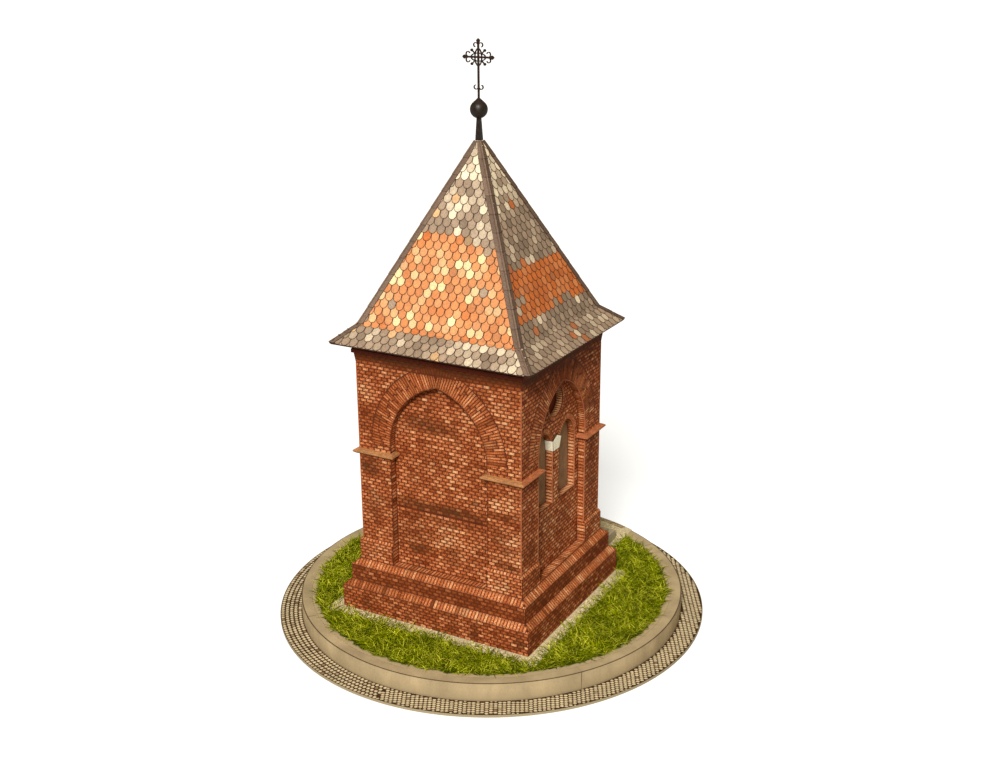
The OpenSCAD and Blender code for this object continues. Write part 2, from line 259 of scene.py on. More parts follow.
# ---------- where flat pieces lie ----------
class Sheet:
    """A flat face of the model, with its own right, up and outward directions."""

    def __init__(self, origin, right, up):
        self.origin = Vector(origin)
        self.right = Vector(right).normalized()
        self.up = Vector(up).normalized()
        self.out = self.right.cross(self.up)

    def at(self, u, v, n=0.0):
        """The point `u` to the right, `v` up and `n` out from the sheet's origin."""
        return self.origin + u * self.right + v * self.up + n * self.out

    def ledge(self, u, v):
        """The level sheet that runs back from the line at height `v`, with its middle at `u`."""
        return Sheet(self.at(u, v), self.right, -self.out)

    def turn(self, angle):
        """Euler angles that lay a piece on the sheet, turned by `angle` within it."""
        right = math.cos(angle) * self.right + math.sin(angle) * self.up
        up = self.out.cross(right)
        return Matrix((right, up, self.out)).transposed().to_euler()


UP = Vector((0, 0, 1))


def face_at(side):
    """Distance from the chapel's middle to one side's wall face."""
    return HALF_W if side % 2 else HALF_D


def half_run(side):
    """Half the width of one side's wall."""
    return HALF_D if side % 2 else HALF_W


def side_axes(side):
    """Directions to the right and outwards for somebody who looks at a side."""
    angle = math.radians(90 * side)
    right = Vector((math.cos(angle), math.sin(angle), 0))
    return right, right.cross(UP)


def side_sheet(side, out=0.0, height=0.0, lean=None):
    """The sheet at `out` in front of a side's wall face; `lean` is (outwards, upwards)."""
    right, outward = side_axes(side)
    origin = Vector((0, MIDDLE_Y, LAWN_TOP + height)) + (face_at(side) + out) * outward
    up = UP if lean is None else lean[0] * outward + lean[1] * UP
    return Sheet(origin, right, up)


class Spots:
    """Places for laid pieces of one side, each with its turn, its size and two values that colour it."""

    def __init__(self, seed, sizes=None, side=0):
        self.rng = random.Random(seed)
        self.sizes = sizes
        self.side = side
        self.place = []
        self.turn = []
        self.size = []
        self.kiln = []
        self.soot = []

    def add(self, sheet, u, v, size, angle=0.0, sink=0.02, kiln=None, soot=0.0, lift=0.0):
        """Adds one piece with its middle at (u, v); `sink` is how deep its foot is in the card."""
        self.place.append(sheet.at(u, v, lift - sink) * MM)
        self.turn.append(sheet.turn(angle))
        self.size.append((size[0] * MM, size[1] * MM, (size[2] + sink) * MM))
        self.kiln.append(self.rng.random() if kiln is None else min(max(kiln, 0.0), 1.0))
        self.soot.append(min(max(soot, 0.0), 1.0))

    def brick(self, sheet, u, v, length, height, place, extra=0.0, spread=0.15, **more):
        """Adds a brick, fired, sooted and given painted shade by its place on the side's brickwork; `extra`
        fires it more.
        """
        soot, warmth = weather_and_shade(self.side, *place)
        kiln = USUAL_FIRING + self.rng.gauss(0, spread) + warmth + extra
        soot *= self.rng.uniform(0.5, 1.15)
        self.add(sheet, u, v, (length, height, self.sizes.relief), kiln=kiln, soot=soot, **more)


def millimetres(context):
    """The user's sizes of laid pieces, in millimetres."""
    sizes = context.scene.chapel_sizes
    return SimpleNamespace(**{label: getattr(sizes, label) / MM for label in ChapelSizes.__annotations__})


# ---------- small templates that are laid many times ----------
def template(name, loops, rims, peak=None):
    """A template from cross-sections, each with its `rim` value; `peak` closes the top with a fan."""
    shape = new_shape("rim")
    rim = shape.verts.layers.float["rim"]
    rows = []
    for loop, value in zip(loops, rims):
        row = [shape.verts.new(point) for point in loop]
        for vert in row:
            vert[rim] = value
        rows.append(row)
    join_rows(shape, rows, seal=peak is None)
    if peak:
        shape.faces.new(rows[0][::-1])
        top = shape.verts.new(peak)
        for vert, beside in zip(rows[-1], rows[-1][1:] + rows[-1][:1]):
            shape.faces.new((vert, beside, top))
    return keep(shape, name)


def new_shape(*labels):
    """An empty shape whose vertices carry the named values."""
    shape = bmesh.new()
    for label in labels:
        shape.verts.layers.float.new(label)
    return shape


def dot(shape, place, **values):
    """A vertex at a place in millimetres, with its own values."""
    vert = shape.verts.new(place * MM)
    for label, value in values.items():
        vert[shape.verts.layers.float[label]] = value
    return vert


def join_rows(shape, rows, seal=True, ring=False):
    """Faces between neighbouring rows of vertices, with closed ends unless the rows form a ring."""
    pairs = list(zip(rows, rows[1:]))
    if ring:
        pairs.append((rows[-1], rows[0]))
    for low, high in pairs:
        for i in range(len(low)):
            j = (i + 1) % len(low)
            shape.faces.new((low[i], low[j], high[j], high[i]))
    if seal and not ring:
        shape.faces.new(rows[0][::-1])
        shape.faces.new(rows[-1])


def keep(shape, name):
    """Turns a bmesh into an object with outward normals."""
    bmesh.ops.remove_doubles(shape, verts=shape.verts, dist=1e-8)
    bmesh.ops.recalc_face_normals(shape, faces=shape.faces)
    mesh = bpy.data.meshes.new(name)
    shape.to_mesh(mesh)
    shape.free()
    thing = bpy.data.objects.new(name, mesh)
    bpy.context.scene.collection.objects.link(thing)
    return thing


def block_shape(inset=0.06, edge=0.6):
    """A shallow block, one unit long, wide and high, whose top swells a little to its middle."""
    loops = [[(x, y, z) for x, y in ((-r, -r), (r, -r), (r, r), (-r, r))]
             for r, z in ((0.5, 0.0), (0.5 - inset, 0.8))]
    return template("block", loops, (1.0, edge), (0, 0, 1))


def cobble_shape():
    """A sett with worn, rounded corners."""
    loops = []
    for reach, z in ((0.65, 0.0), (0.55, 0.75)):
        angles = [math.radians(45 + 90 * k + turn) for k in range(4) for turn in (-20, 20)]
        loops.append([(reach * math.cos(angle), reach * math.sin(angle), z) for angle in angles])
    return template("cobble", loops, (1.0, 0.5), (0, 0, 1))


def tile_shape(sizes):
    """A flat tile with a rounded lower end; its tip is at the origin and it reaches up +Y."""
    width, inset, parts = 0.97, 0.04, 8
    rounding = sizes.tile_round / tile_length(sizes)

    def outline(shrink):
        half = width / 2 - shrink
        curve = [(-half * math.cos(math.pi * i / parts),
                  shrink * 0.8 + rounding * (1 - math.sin(math.pi * i / parts))) for i in range(parts + 1)]
        return curve + [(half, 1.0), (-half, 1.0)]
    loops = [[(x, y, z) for x, y in outline(shrink)]
             for shrink, z in ((0.0, 0.0), (0.0, 0.6), (inset, 0.9), (inset + 0.03, 1.0))]
    return template("tile", loops, (1.0, 1.0, 0.95, 0.1), (0, 0.7 * rounding, 1))


def tile_length(sizes):
    """Whole length of a tile: its gauge, its rounding and a short lap."""
    return sizes.tile_gauge + 1.1 * sizes.tile_round


def blade_shape(width=0.1, bend=0.22):
    """A curved three-sided blade of grass, one unit long."""
    loops = []
    for height, part in ((0.0, 1.0), (0.55, 0.7), (1.0, 0.0)):
        half = part * width
        loops.append([(half * math.cos(a), bend * height ** 2 + half * 0.4 * math.sin(a), height)
                      for a in (0.0, 2.1, 4.2)])
    return template("blade", loops, (1.0, 0.3, 0.0))


def pebble_shape():
    """A low lump of gravel."""
    loops = [[(r * math.cos(a) * (1 + 0.18 * math.cos(2 * a + z)), r * math.sin(a), z)
              for a in (math.tau * k / 6 for k in range(6))] for r, z in ((0.42, 0.0), (0.5, 0.35))]
    return template("pebble", loops, (1.0, 0.3), (0, 0, 0.75))


# ---------- geometry node trees ----------
def put(tree, kind, inputs=None, **settings):
    """Adds a node; an input's value is either a number or a socket to wire to it."""
    node = tree.nodes.new(kind)
    for key, value in settings.items():
        setattr(node, key, value)
    for key, value in (inputs or {}).items():
        socket = node.inputs[key]
        if isinstance(value, bpy.types.NodeSocket):
            tree.links.new(value, socket)
        else:
            socket.default_value = value
    return node


def calc(tree, operation, first, second):
    """Adds a calculation with two values and returns its socket."""
    return put(tree, "ShaderNodeMath", {0: first, 1: second}, operation=operation).outputs[0]


def new_tree(name, sockets):
    """A geometry tree with the given input sockets; also gives their values and the tree's result socket."""
    tree = bpy.data.node_groups.new(name, "GeometryNodeTree")
    tree.is_modifier = True
    tree.interface.new_socket("Geometry", in_out="OUTPUT", socket_type="NodeSocketGeometry")
    tree.interface.new_socket("Geometry", in_out="INPUT", socket_type="NodeSocketGeometry")
    for label, kind, default in sockets:
        socket = tree.interface.new_socket(label, in_out="INPUT", socket_type="NodeSocket" + kind)
        if default is not None:
            socket.default_value = default
    return tree, tree.nodes.new("NodeGroupInput").outputs, tree.nodes.new("NodeGroupOutput").inputs[0]


def finish_tree(tree, source, given, result):
    """Realises the instances, sets the material and wires the output."""
    real = put(tree, "GeometryNodeRealizeInstances", {"Geometry": source})
    done = put(tree, "GeometryNodeSetMaterial", {"Geometry": real.outputs[0], "Material": given["Finish"]})
    tree.links.new(done.outputs[0], result)
    return tree


def laying_tree():
    """Puts one shape on every point, turned and sized by the point's own attributes."""
    tree, given, result = new_tree("Lay pieces", (
        ("Shape", "Object", None), ("Finish", "Material", None),
        ("Size factor", "Float", 1.0), ("Wobble", "Float", 0.0), ("Seed", "Int", 1)))
    shape = put(tree, "GeometryNodeObjectInfo", {"Object": given["Shape"]})
    turn, size = (put(tree, "GeometryNodeInputNamedAttribute", {"Name": label}, data_type="FLOAT_VECTOR")
                  for label in ("turn", "size"))
    less = calc(tree, "MULTIPLY", given["Wobble"], -1.0)
    sway = put(tree, "FunctionNodeRandomValue", {2: less, 3: given["Wobble"], "Seed": given["Seed"]},
               data_type="FLOAT")
    spin = put(tree, "ShaderNodeCombineXYZ", {"Z": sway.outputs[1]})
    base, extra = (put(tree, "FunctionNodeEulerToRotation", {0: node.outputs[0]}) for node in (turn, spin))
    both = put(tree, "FunctionNodeRotateRotation", {0: base.outputs[0], 1: extra.outputs[0]},
               rotation_space="LOCAL")
    stretched = put(tree, "ShaderNodeVectorMath", {0: size.outputs[0], "Scale": given["Size factor"]},
                    operation="SCALE")
    placed = put(tree, "GeometryNodeInstanceOnPoints",
                 {"Points": given["Geometry"], "Instance": shape.outputs["Geometry"],
                  "Rotation": both.outputs[0], "Scale": stretched.outputs[0]})
    return finish_tree(tree, placed.outputs[0], given, result)


def strewing_tree():
    """Strews one shape over a surface, each leaning and turned at random."""
    tree, given, result = new_tree("Strew pieces", (
        ("Shape", "Object", None), ("Finish", "Material", None),
        ("Density", "Float", 1e6), ("Smallest", "Float", 0.001), ("Largest", "Float", 0.002),
        ("Least lean", "Float", 0.2), ("Most lean", "Float", 0.9), ("Seed", "Int", 1)))
    shape = put(tree, "GeometryNodeObjectInfo", {"Object": given["Shape"]})
    strewn = put(tree, "GeometryNodeDistributePointsOnFaces",
                 {"Mesh": given["Geometry"], "Density": given["Density"], "Seed": given["Seed"]},
                 distribute_method="RANDOM")

    def chance(low, high, offset):
        seed = calc(tree, "ADD", given["Seed"], offset)
        value = put(tree, "FunctionNodeRandomValue", {2: low, 3: high, "Seed": seed}, data_type="FLOAT")
        return value.outputs[1]
    lean = chance(given["Least lean"], given["Most lean"], 1.0)
    angles = put(tree, "ShaderNodeCombineXYZ", {"X": lean, "Z": chance(0.0, math.tau, 2.0)})
    turned = put(tree, "FunctionNodeEulerToRotation", {0: angles.outputs[0]})
    toned = put(tree, "GeometryNodeStoreNamedAttribute",
                {"Geometry": strewn.outputs["Points"], "Name": "kiln", "Value": chance(0.0, 1.0, 3.0)},
                data_type="FLOAT", domain="POINT")
    placed = put(tree, "GeometryNodeInstanceOnPoints",
                 {"Points": toned.outputs[0], "Instance": shape.outputs["Geometry"],
                  "Rotation": turned.outputs[0], "Scale": chance(given["Smallest"], given["Largest"], 4.0)})
    return finish_tree(tree, placed.outputs[0], given, result)


def run_tree(tree, source, name, slot, finish, **values):
    """Runs a tree on `source` with its inputs' values and settles the result as one plain mesh."""
    made = source.modifiers.new("Make", "NODES")
    made.node_group = tree
    names = {item.name: item.identifier for item in tree.interface.items_tree
             if item.item_type == "SOCKET" and item.in_out == "INPUT"}
    made[names["Finish"]] = bpy.data.materials[finish]
    for label, value in values.items():
        made[names[label.replace("_", " ")]] = value
    bpy.context.view_layer.update()
    evaluated = source.evaluated_get(bpy.context.evaluated_depsgraph_get())
    mesh = bpy.data.meshes.new_from_object(evaluated)
    if not mesh.polygons:
        raise RuntimeError(f"{name} came out empty")
    source.modifiers.clear()
    for label in ("turn", "size"):
        if label in mesh.attributes:
            mesh.attributes.remove(mesh.attributes[label])
    mesh.name = name
    piece = bpy.data.objects.new(name, mesh)
    bpy.context.scene.collection.objects.link(piece)
    discard(source)
    settle(piece, slot)


def discard(thing):
    """Removes a helper object and its mesh."""
    mesh = thing.data
    bpy.data.objects.remove(thing)
    bpy.data.meshes.remove(mesh)


def settle(piece, slot):
    """Hangs a finished piece on the body that it rides on; `slot` is not used."""
    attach(piece, BODY)


def settled(shape, name, finish, slot):
    """Makes a finished piece of a shape and settles it."""
    settle(finished(shape, name, finish), slot)


def finished(shape, name, finish):
    """Turns a shape into an object with a named finish."""
    piece = keep(shape, name)
    piece.data.materials.append(bpy.data.materials[finish])
    return piece


def lay(name, spots, shape, finish, slot, seed, wobble=0.0):
    """Lays one piece's worth of small shapes."""
    mesh = bpy.data.meshes.new(name + "_spots")
    mesh.from_pydata(spots.place, [], [])
    for label, rows in (("turn", spots.turn), ("size", spots.size)):
        layer = mesh.attributes.new(label, "FLOAT_VECTOR", "POINT")
        layer.data.foreach_set("vector", [number for row in rows for number in row])
    for label, numbers in (("kiln", spots.kiln), ("soot", spots.soot)):
        mesh.attributes.new(label, "FLOAT", "POINT").data.foreach_set("value", numbers)
    source = bpy.data.objects.new(name + "_spots", mesh)
    bpy.context.scene.collection.objects.link(source)
    tree = bpy.data.node_groups.get("Lay pieces") or laying_tree()
    run_tree(tree, source, name, slot, finish, Shape=shape, Wobble=wobble, Seed=seed)


def strew(name, patch, shape, finish, slot, **values):
    """Strews one shape over a patch of ground."""
    tree = bpy.data.node_groups.get("Strew pieces") or strewing_tree()
    run_tree(tree, patch, name, slot, finish, Shape=shape, **values)


# ---------- finishes ----------
def mixed(tree, factor, first, second):
    """Mixes two colours and returns the colour socket."""
    return put(tree, "ShaderNodeMix", {0: factor, 6: first, 7: second},
               data_type="RGBA", blend_type="MIX").outputs[2]


def cloud(tree, here, size, low, high, detail=3.0):
    """Smooth noise with blobs of `size` millimetres, stretched to run from `low` to `high`."""
    rough = put(tree, "ShaderNodeTexNoise",
                {"Vector": here, "Scale": 1 / (size * MM), "Detail": detail, "Roughness": 0.6})
    return put(tree, "ShaderNodeMapRange",
               {"Value": rough.outputs[0], "From Min": 0.32, "From Max": 0.68, "To Min": low, "To Max": high}
               ).outputs[0]


def value_of(tree, label):
    """A laid piece's own value."""
    return put(tree, "ShaderNodeAttribute", attribute_name=label).outputs["Fac"]


def rgba(colour):
    """A colour with full alpha."""
    return tuple(colour) + (1.0,)


def printed_card(name, stops, soot=None, edge=None, fired=True, spread=6.0, patch=(8.0, 0.9, 1.08),
                 grain=(0.35, 0.84, 1.14), roughness=0.74, gloss=0.22, edge_power=1.0, stretch=(1, 1, 1),
                 flecks=0.0):
    """Printed card: stops of colour by firing, then soot and painted shade, dark edges, patches and paper
    grain.
    """
    material = bpy.data.materials.new(name)
    material.use_nodes = True
    tree = material.node_tree
    surface = tree.nodes["Principled BSDF"]
    here = put(tree, "ShaderNodeTexCoord").outputs["Object"]
    drawn = put(tree, "ShaderNodeVectorMath", {0: here, 1: stretch}, operation="MULTIPLY").outputs[0]
    level = value_of(tree, "kiln") if fired else cloud(tree, drawn, spread, 0.0, 1.0)
    if flecks:
        level = calc(tree, "ADD", level, cloud(tree, drawn, FLECK, -flecks, flecks, 4.0))
    ramp = put(tree, "ShaderNodeValToRGB", {"Fac": level})
    marks = ramp.color_ramp.elements
    for mark, (place, tint) in zip(marks, (stops[0], stops[-1])):
        mark.position = place
        mark.color = rgba(tint)
    for place, tint in stops[1:-1]:
        marks.new(place).color = rgba(tint)
    colour = ramp.outputs["Color"]
    for size, low, high in (patch, grain):
        colour = put(tree, "ShaderNodeHueSaturation",
                     {"Color": colour, "Value": cloud(tree, drawn, size, low, high)}).outputs[0]
    if soot:
        colour = mixed(tree, value_of(tree, "soot"), colour, rgba(soot))
    if edge:
        power = calc(tree, "MULTIPLY", value_of(tree, "rim"), edge_power)
        colour = mixed(tree, power, colour, rgba(edge))
    tree.links.new(colour, surface.inputs["Base Color"])
    tree.links.new(cloud(tree, here, 1.2, roughness - 0.08, roughness + 0.08), surface.inputs["Roughness"])
    surface.inputs["Specular IOR Level"].default_value = gloss
    bump = put(tree, "ShaderNodeBump",
               {"Strength": 0.25, "Distance": PAPER_BUMP * MM, "Height": cloud(tree, here, 0.3, 0.0, 1.0)})
    tree.links.new(bump.outputs[0], surface.inputs["Normal"])
    return material


def scaled(colour, share):
    """A lighter or darker version of a colour."""
    return [min(1.0, value * share) for value in colour]


def changed(material, measured, start, end, colour):
    """Gives a finish another colour where a length measured in millimetres goes from `start` to `end`."""
    tree = material.node_tree
    surface = tree.nodes["Principled BSDF"]
    here = next(node for node in tree.nodes if node.type == "TEX_COORD").outputs["Object"]
    now = surface.inputs["Base Color"].links[0].from_socket
    share = put(tree, "ShaderNodeMapRange",
                {"Value": measured(tree, here), "From Min": start * MM, "From Max": end * MM})
    tree.links.new(mixed(tree, share.outputs[0], now, rgba(colour)), surface.inputs["Base Color"])
    return material


def up_from_table(tree, here):
    """Height of a place."""
    return put(tree, "ShaderNodeSeparateXYZ", {0: here}).outputs["Z"]


def out_from_axis(unevenness):
    """Measures how far a place is from the base's axis, unevenly."""
    def measured(tree, here):
        flat = put(tree, "ShaderNodeVectorMath", {0: here, 1: (1.0, 1.0, 0.0)}, operation="MULTIPLY")
        far = put(tree, "ShaderNodeVectorMath", {0: flat.outputs[0]}, operation="LENGTH")
        wander = cloud(tree, here, 3.5, -unevenness * MM, unevenness * MM)
        return calc(tree, "ADD", far.outputs["Value"], wander)
    return measured


def cover(material, *names):
    """Gives CAD nodes a finish."""
    for name in names:
        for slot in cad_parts[name].material_slots:
            slot.material = material


def plain(label, colours, low, high, spread, *nodes, **more):
    """A finish for whole faces, from a darker to a lighter version of one colour, given to CAD nodes."""
    colour = getattr(colours, label)
    material = printed_card(label + " print", ((0.0, scaled(colour, low)), (1.0, scaled(colour, high))),
                            fired=False, spread=spread, **more)
    cover(material, *nodes)
    return material


def laid(label, colours, low, high, edge, **more):
    """A finish for laid pieces, from a darker to a lighter version of one colour by each one's firing."""
    colour = getattr(colours, label)
    return printed_card("laid " + label, ((0.0, scaled(colour, low)), (1.0, scaled(colour, high))),
                        edge=edge, **more)


class CHAPEL_OT_finishes(bpy.types.Operator):
    """Make the printed finishes and give them to the card sheets"""

    bl_idname = "chapel.finishes"
    bl_label = "Finishes"

    def execute(self, context):
        for finishes in (brick_finishes, roof_finishes, fitting_finishes, base_finishes):
            finishes(context.scene.chapel_colours)
        return {"FINISHED"}


def brick_finishes(colours):
    """Bricks, the dark card behind them and its pale cut edges."""
    printed_card("laid brick", (
        (0.0, colours.brick_burnt), (0.26, colours.brick_brown), (0.5, colours.brick_red),
        (0.76, colours.brick_orange), (1.0, colours.brick_salmon)),
        soot=colours.brick_soot_and_shade, edge=colours.brick_joint, edge_power=0.92, grain=(0.3, 0.84, 1.16),
        flecks=0.34, gloss=0.08)
    plain("brick_joint", colours, 1.0, 1.5, 3.0, "lower_plinth", "upper_plinth", "pier_socles",
          "blind_wall", "right_window_wall", "entrance_wall", "left_window_wall",
          "blind_panel", "right_window_panel", "doorway_panel", "left_window_panel",
          "right_mullion", "left_mullion")
    plain("card_edge", colours, 0.8, 1.25, 5.0)


def roof_finishes(colours):
    """Tiles, hip strips and the board under the eaves."""
    pale = [0.5 * (a + b) for a, b in zip(colours.tile_cream, colours.tile_grey)]
    printed_card("laid tile", (
        (0.0, scaled(colours.tile_grey, 0.6)), (0.28, scaled(colours.tile_grey, 1.05)), (0.44, pale),
        (PALEST, colours.tile_cream), (RUSTIEST, colours.tile_rust), (0.76, colours.tile_red),
        (0.9, colours.tile_orange), (1.0, colours.tile_gold)),
        soot=scaled(colours.tile_grey, 0.45), edge=colours.tile_line, edge_power=0.95, roughness=0.66,
        grain=(0.5, 0.8, 1.2))
    plain("tile_line", colours, 1.0, 1.6, 3.0, "blind_roof", "right_roof", "entrance_roof", "left_roof")
    printed_card("laid hip", ((0.0, scaled(colours.hip, 0.6)), (0.8, scaled(colours.hip, 1.15)),
                 (1.0, colours.tile_cream)), edge=colours.tile_line, grain=(0.4, 0.7, 1.25))
    # The cornice finishes are dark partly from print and partly as painted shade under the eaves.
    plain("cornice", colours, 0.5, 0.8, 2.0, "cornice_board")
    laid("cornice", colours, 0.8, 1.5, scaled(colours.cornice, 0.5), flecks=0.3)


def fitting_finishes(colours):
    """String course, capitals, backing, door, finial and steps."""
    # The string print's edge colour is the painted shade on the band's lower faces.
    printed_card("string print", (
        (0.0, scaled(colours.string, 0.85)), (0.4, scaled(colours.string, 1.15)),
        (0.6, scaled(colours.string_red, 0.85)), (1.0, scaled(colours.string_red, 1.15))),
        edge=scaled(colours.brick_burnt, 0.6), edge_power=0.9, patch=(1.6, 0.72, 1.3),
        grain=(0.5, 0.6, 1.35), stretch=(1, 1, 5), flecks=0.15)
    plain("tile_line", colours, 1.0, 3.0, 1.0, "right_capital", "left_capital")
    plain("capital", colours, 0.85, 1.1, 1.2, stretch=(2, 2, 0.4))
    backing = plain("backing", colours, 0.9, 1.2, 4.0, "right_window_backing", "left_window_backing",
                    "door_backing")
    # Painted shade: the backing turns dark brick-red above this height.
    level, blend = LAWN_TOP + BACKING_SHADE_LEVEL, 0.3
    changed(backing, up_from_table, level - blend, level + blend, scaled(colours.brick_burnt, 0.8))
    plain("door", colours, 0.4, 0.6, 3.0, "entrance_door")
    laid("door", colours, 0.7, 1.5, colours.iron)
    plain("iron", colours, 1.0, 1.8, 1.2, "finial_neck", "finial_ball", roughness=0.42, gloss=0.35)
    plain("cross", colours, 0.7, 1.3, 0.8, "cross")
    plain("stone", colours, 0.4, 0.55, 2.0, *STEP_NODES)
    laid("stone", colours, 0.8, 1.15, scaled(colours.stone, 0.4), grain=(0.4, 0.75, 1.2))


def base_finishes(colours):
    """Gravel, kerb, paving, turf and grass."""
    plain("gravel", colours, 0.6, 1.0, 0.9, "gravel_apron", "entrance_path", grain=(0.25, 0.7, 1.2))
    laid("gravel", colours, 0.6, 1.2, colours.sett_joint, edge_power=0.6)
    kerb = plain("kerb", colours, 0.84, 1.12, 7.0, grain=(0.25, 0.92, 1.07), stretch=(1, 1, 0.35),
                 edge=colours.sett_joint, edge_power=0.85)
    changed(kerb, up_from_table, LAWN_TOP + KERB_SHADE + KERB_FADE, LAWN_TOP + KERB_SHADE - KERB_FADE,
            scaled(colours.kerb, 0.7))
    disc = plain("sett_joint", colours, 0.9, 1.5, 2.0, "paving_disc")
    rim, blend = DISC_R - PAVING_RIM, 0.04
    changed(disc, out_from_axis(0.0), rim - blend, rim + blend, scaled(colours.sett_pale, 0.45))
    printed_card("laid sett", ((0.0, colours.sett_dark), (0.35, colours.sett_pale),
                 (1.0, scaled(colours.sett_pale, 1.15))), edge=colours.sett_joint, edge_power=0.8,
                 grain=(0.4, 0.8, 1.15), flecks=0.1)
    cover(lawn_print(colours), "lawn")
    printed_card("laid grass", (
        (0.0, colours.grass_deep), (0.6, colours.grass_mid), (1.0, colours.grass_tip)),
        edge=colours.grass_deep, edge_power=0.7, patch=(5.5, 0.55, 1.3), roughness=0.9, gloss=0.02)


def lawn_print(colours):
    """Printed turf that ends raggedly in the kerb's tan border."""
    material = printed_card("turf print", ((0.0, scaled(colours.grass_deep, 0.5)), (0.6, colours.grass_deep),
                            (1.0, scaled(colours.grass_mid, 0.8))), fired=False, spread=0.9, gloss=0.1)
    edge, blend = TURF_R - 0.9, 0.3
    return changed(material, out_from_axis(0.8), edge - blend, edge + blend, colours.kerb)


# ---------- brickwork ----------
# Soft patches on the brickwork, the ones high under the eaves being painted shade: side, middle along the
# wall, middle height, reach, soot and shade, warmth.
PATCHES = (
    (0, -8.5, 23.2, (3.2, 1.3), 1.2, -0.1), (0, 0.0, 38.6, (17, 1.7), 0.8, -0.22),
    (0, 22.5, 45.8, (6.5, 1.5), -0.3, 0.28), (0, 22.5, 42.5, (4.5, 1.2), 0.55, -0.1),
    (0, 24.5, 26.0, (4.0, 1.1), 0.45, -0.1), (0, 26.0, 32.0, (3.5, 5.5), 0.0, 0.2),
    (0, 21.5, 36.0, (3.0, 2.0), 0.35, -0.1), (0, -11.0, 29.5, (6.0, 4.5), 0.38, -0.05),
    (0, 0.0, 30.0, (9.0, 4.0), 0.0, 0.22), (0, -5.0, 66.0, (9.0, 2.2), 0.6, -0.12),
    (0, 22.0, 20.2, (6.0, 3.0), 0.0, 0.15), (0, -25.5, 74.0, (2.8, 6.0), 0.0, 0.15),
    (0, -25.0, 50.0, (4.0, 3.0), 0.6, -0.12), (0, 10.0, 71.0, (4.0, 4.0), 0.0, 0.16),
    (1, 0.0, 29.0, (15.0, 6.0), 0.08, 0.06), (1, 22.0, 44.0, (5.0, 9.0), 0.3, -0.15),
    (0, -22.0, 9.0, (17.0, 1.2), 0.2, -0.14), (0, 24.0, 9.0, (17.0, 1.2), 0.0, 0.14),
    (0, -23.5, 64.0, (4.0, 6.0), 0.1, -0.2), (0, 24.5, 68.0, (6.0, 14.0), 0.0, 0.09),
    (0, 0.0, 84.5, (14.0, 2.0), 0.15, -0.1), (1, 0.0, 81.0, (24.0, 4.5), 0.05, -0.14),
    (0, 24.5, 31.0, (3.0, 1.5), 0.5, -0.15), (0, -24.0, 36.0, (2.5, 4.0), 0.4, -0.1),
    (0, 0.0, 35.0, (15.0, 1.0), 0.35, -0.15), (1, 20.0, 66.0, (6.0, 3.0), 0.3, -0.1),
    (1, -22.0, 30.0, (4.0, 3.0), 0.4, -0.1), (0, -24.0, 36.0, (5.0, 22.0), 0.0, 0.05),
    (0, 24.0, 36.0, (5.0, 22.0), 0.0, 0.05), (1, 0.0, 40.0, (30.0, 26.0), 0.0, 0.04))
TOP_SHADE = 83.4        # height where the shade under the eaves starts
RING_SPREAD = 0.12      # how much the firing varies round an arch
SLOPE_SPREAD = 0.1      # how much it varies along a sloping course


def weather_and_shade(side, u, v):
    """Soot, warmth and painted shade of the brickwork at one place."""
    broad = noise.noise(Vector((u / 7.0 + 17.3 * side, v / 3.2, 3.1)))
    fine = noise.noise(Vector((u / 2.6 + 9.7 * side, v / 1.4, 8.4)))
    soot = max(0.0, 0.75 * broad + 0.35 * fine - 0.12)
    warmth = 0.16 * noise.noise(Vector((u / 10.0 + 5.1 * side, v / 6.0, 12.0)))
    for patch_side, middle_u, middle_v, reach, dark, warm in PATCHES:
        if patch_side == side:
            away = math.hypot((u - middle_u) / reach[0], (v - middle_v) / reach[1])
            weight = max(0.0, min(1.0, 1.6 - 1.1 * away))
            soot += dark * weight
            warmth += warm * weight
    # Painted shade under the eaves: the bricks grow sooty and burnt towards the wall's top.
    if v > TOP_SHADE:
        shade = min(1.0, (v - TOP_SHADE) / 2.4)
        soot += 0.85 * shade
        warmth -= 0.7 * shade
    if v < UP_FOOT:
        streak = noise.noise(Vector((u / 1.3 + 3.7 * side, v / 9.0, 21.0)))
        soot += 0.9 * max(0.0, streak)
        warmth -= 0.25 * streak
    if UP_FOOT < v < UP_SHOULDER:
        soot += 0.25
        warmth -= 0.16
    return min(max(soot, 0.0), 0.9), warmth


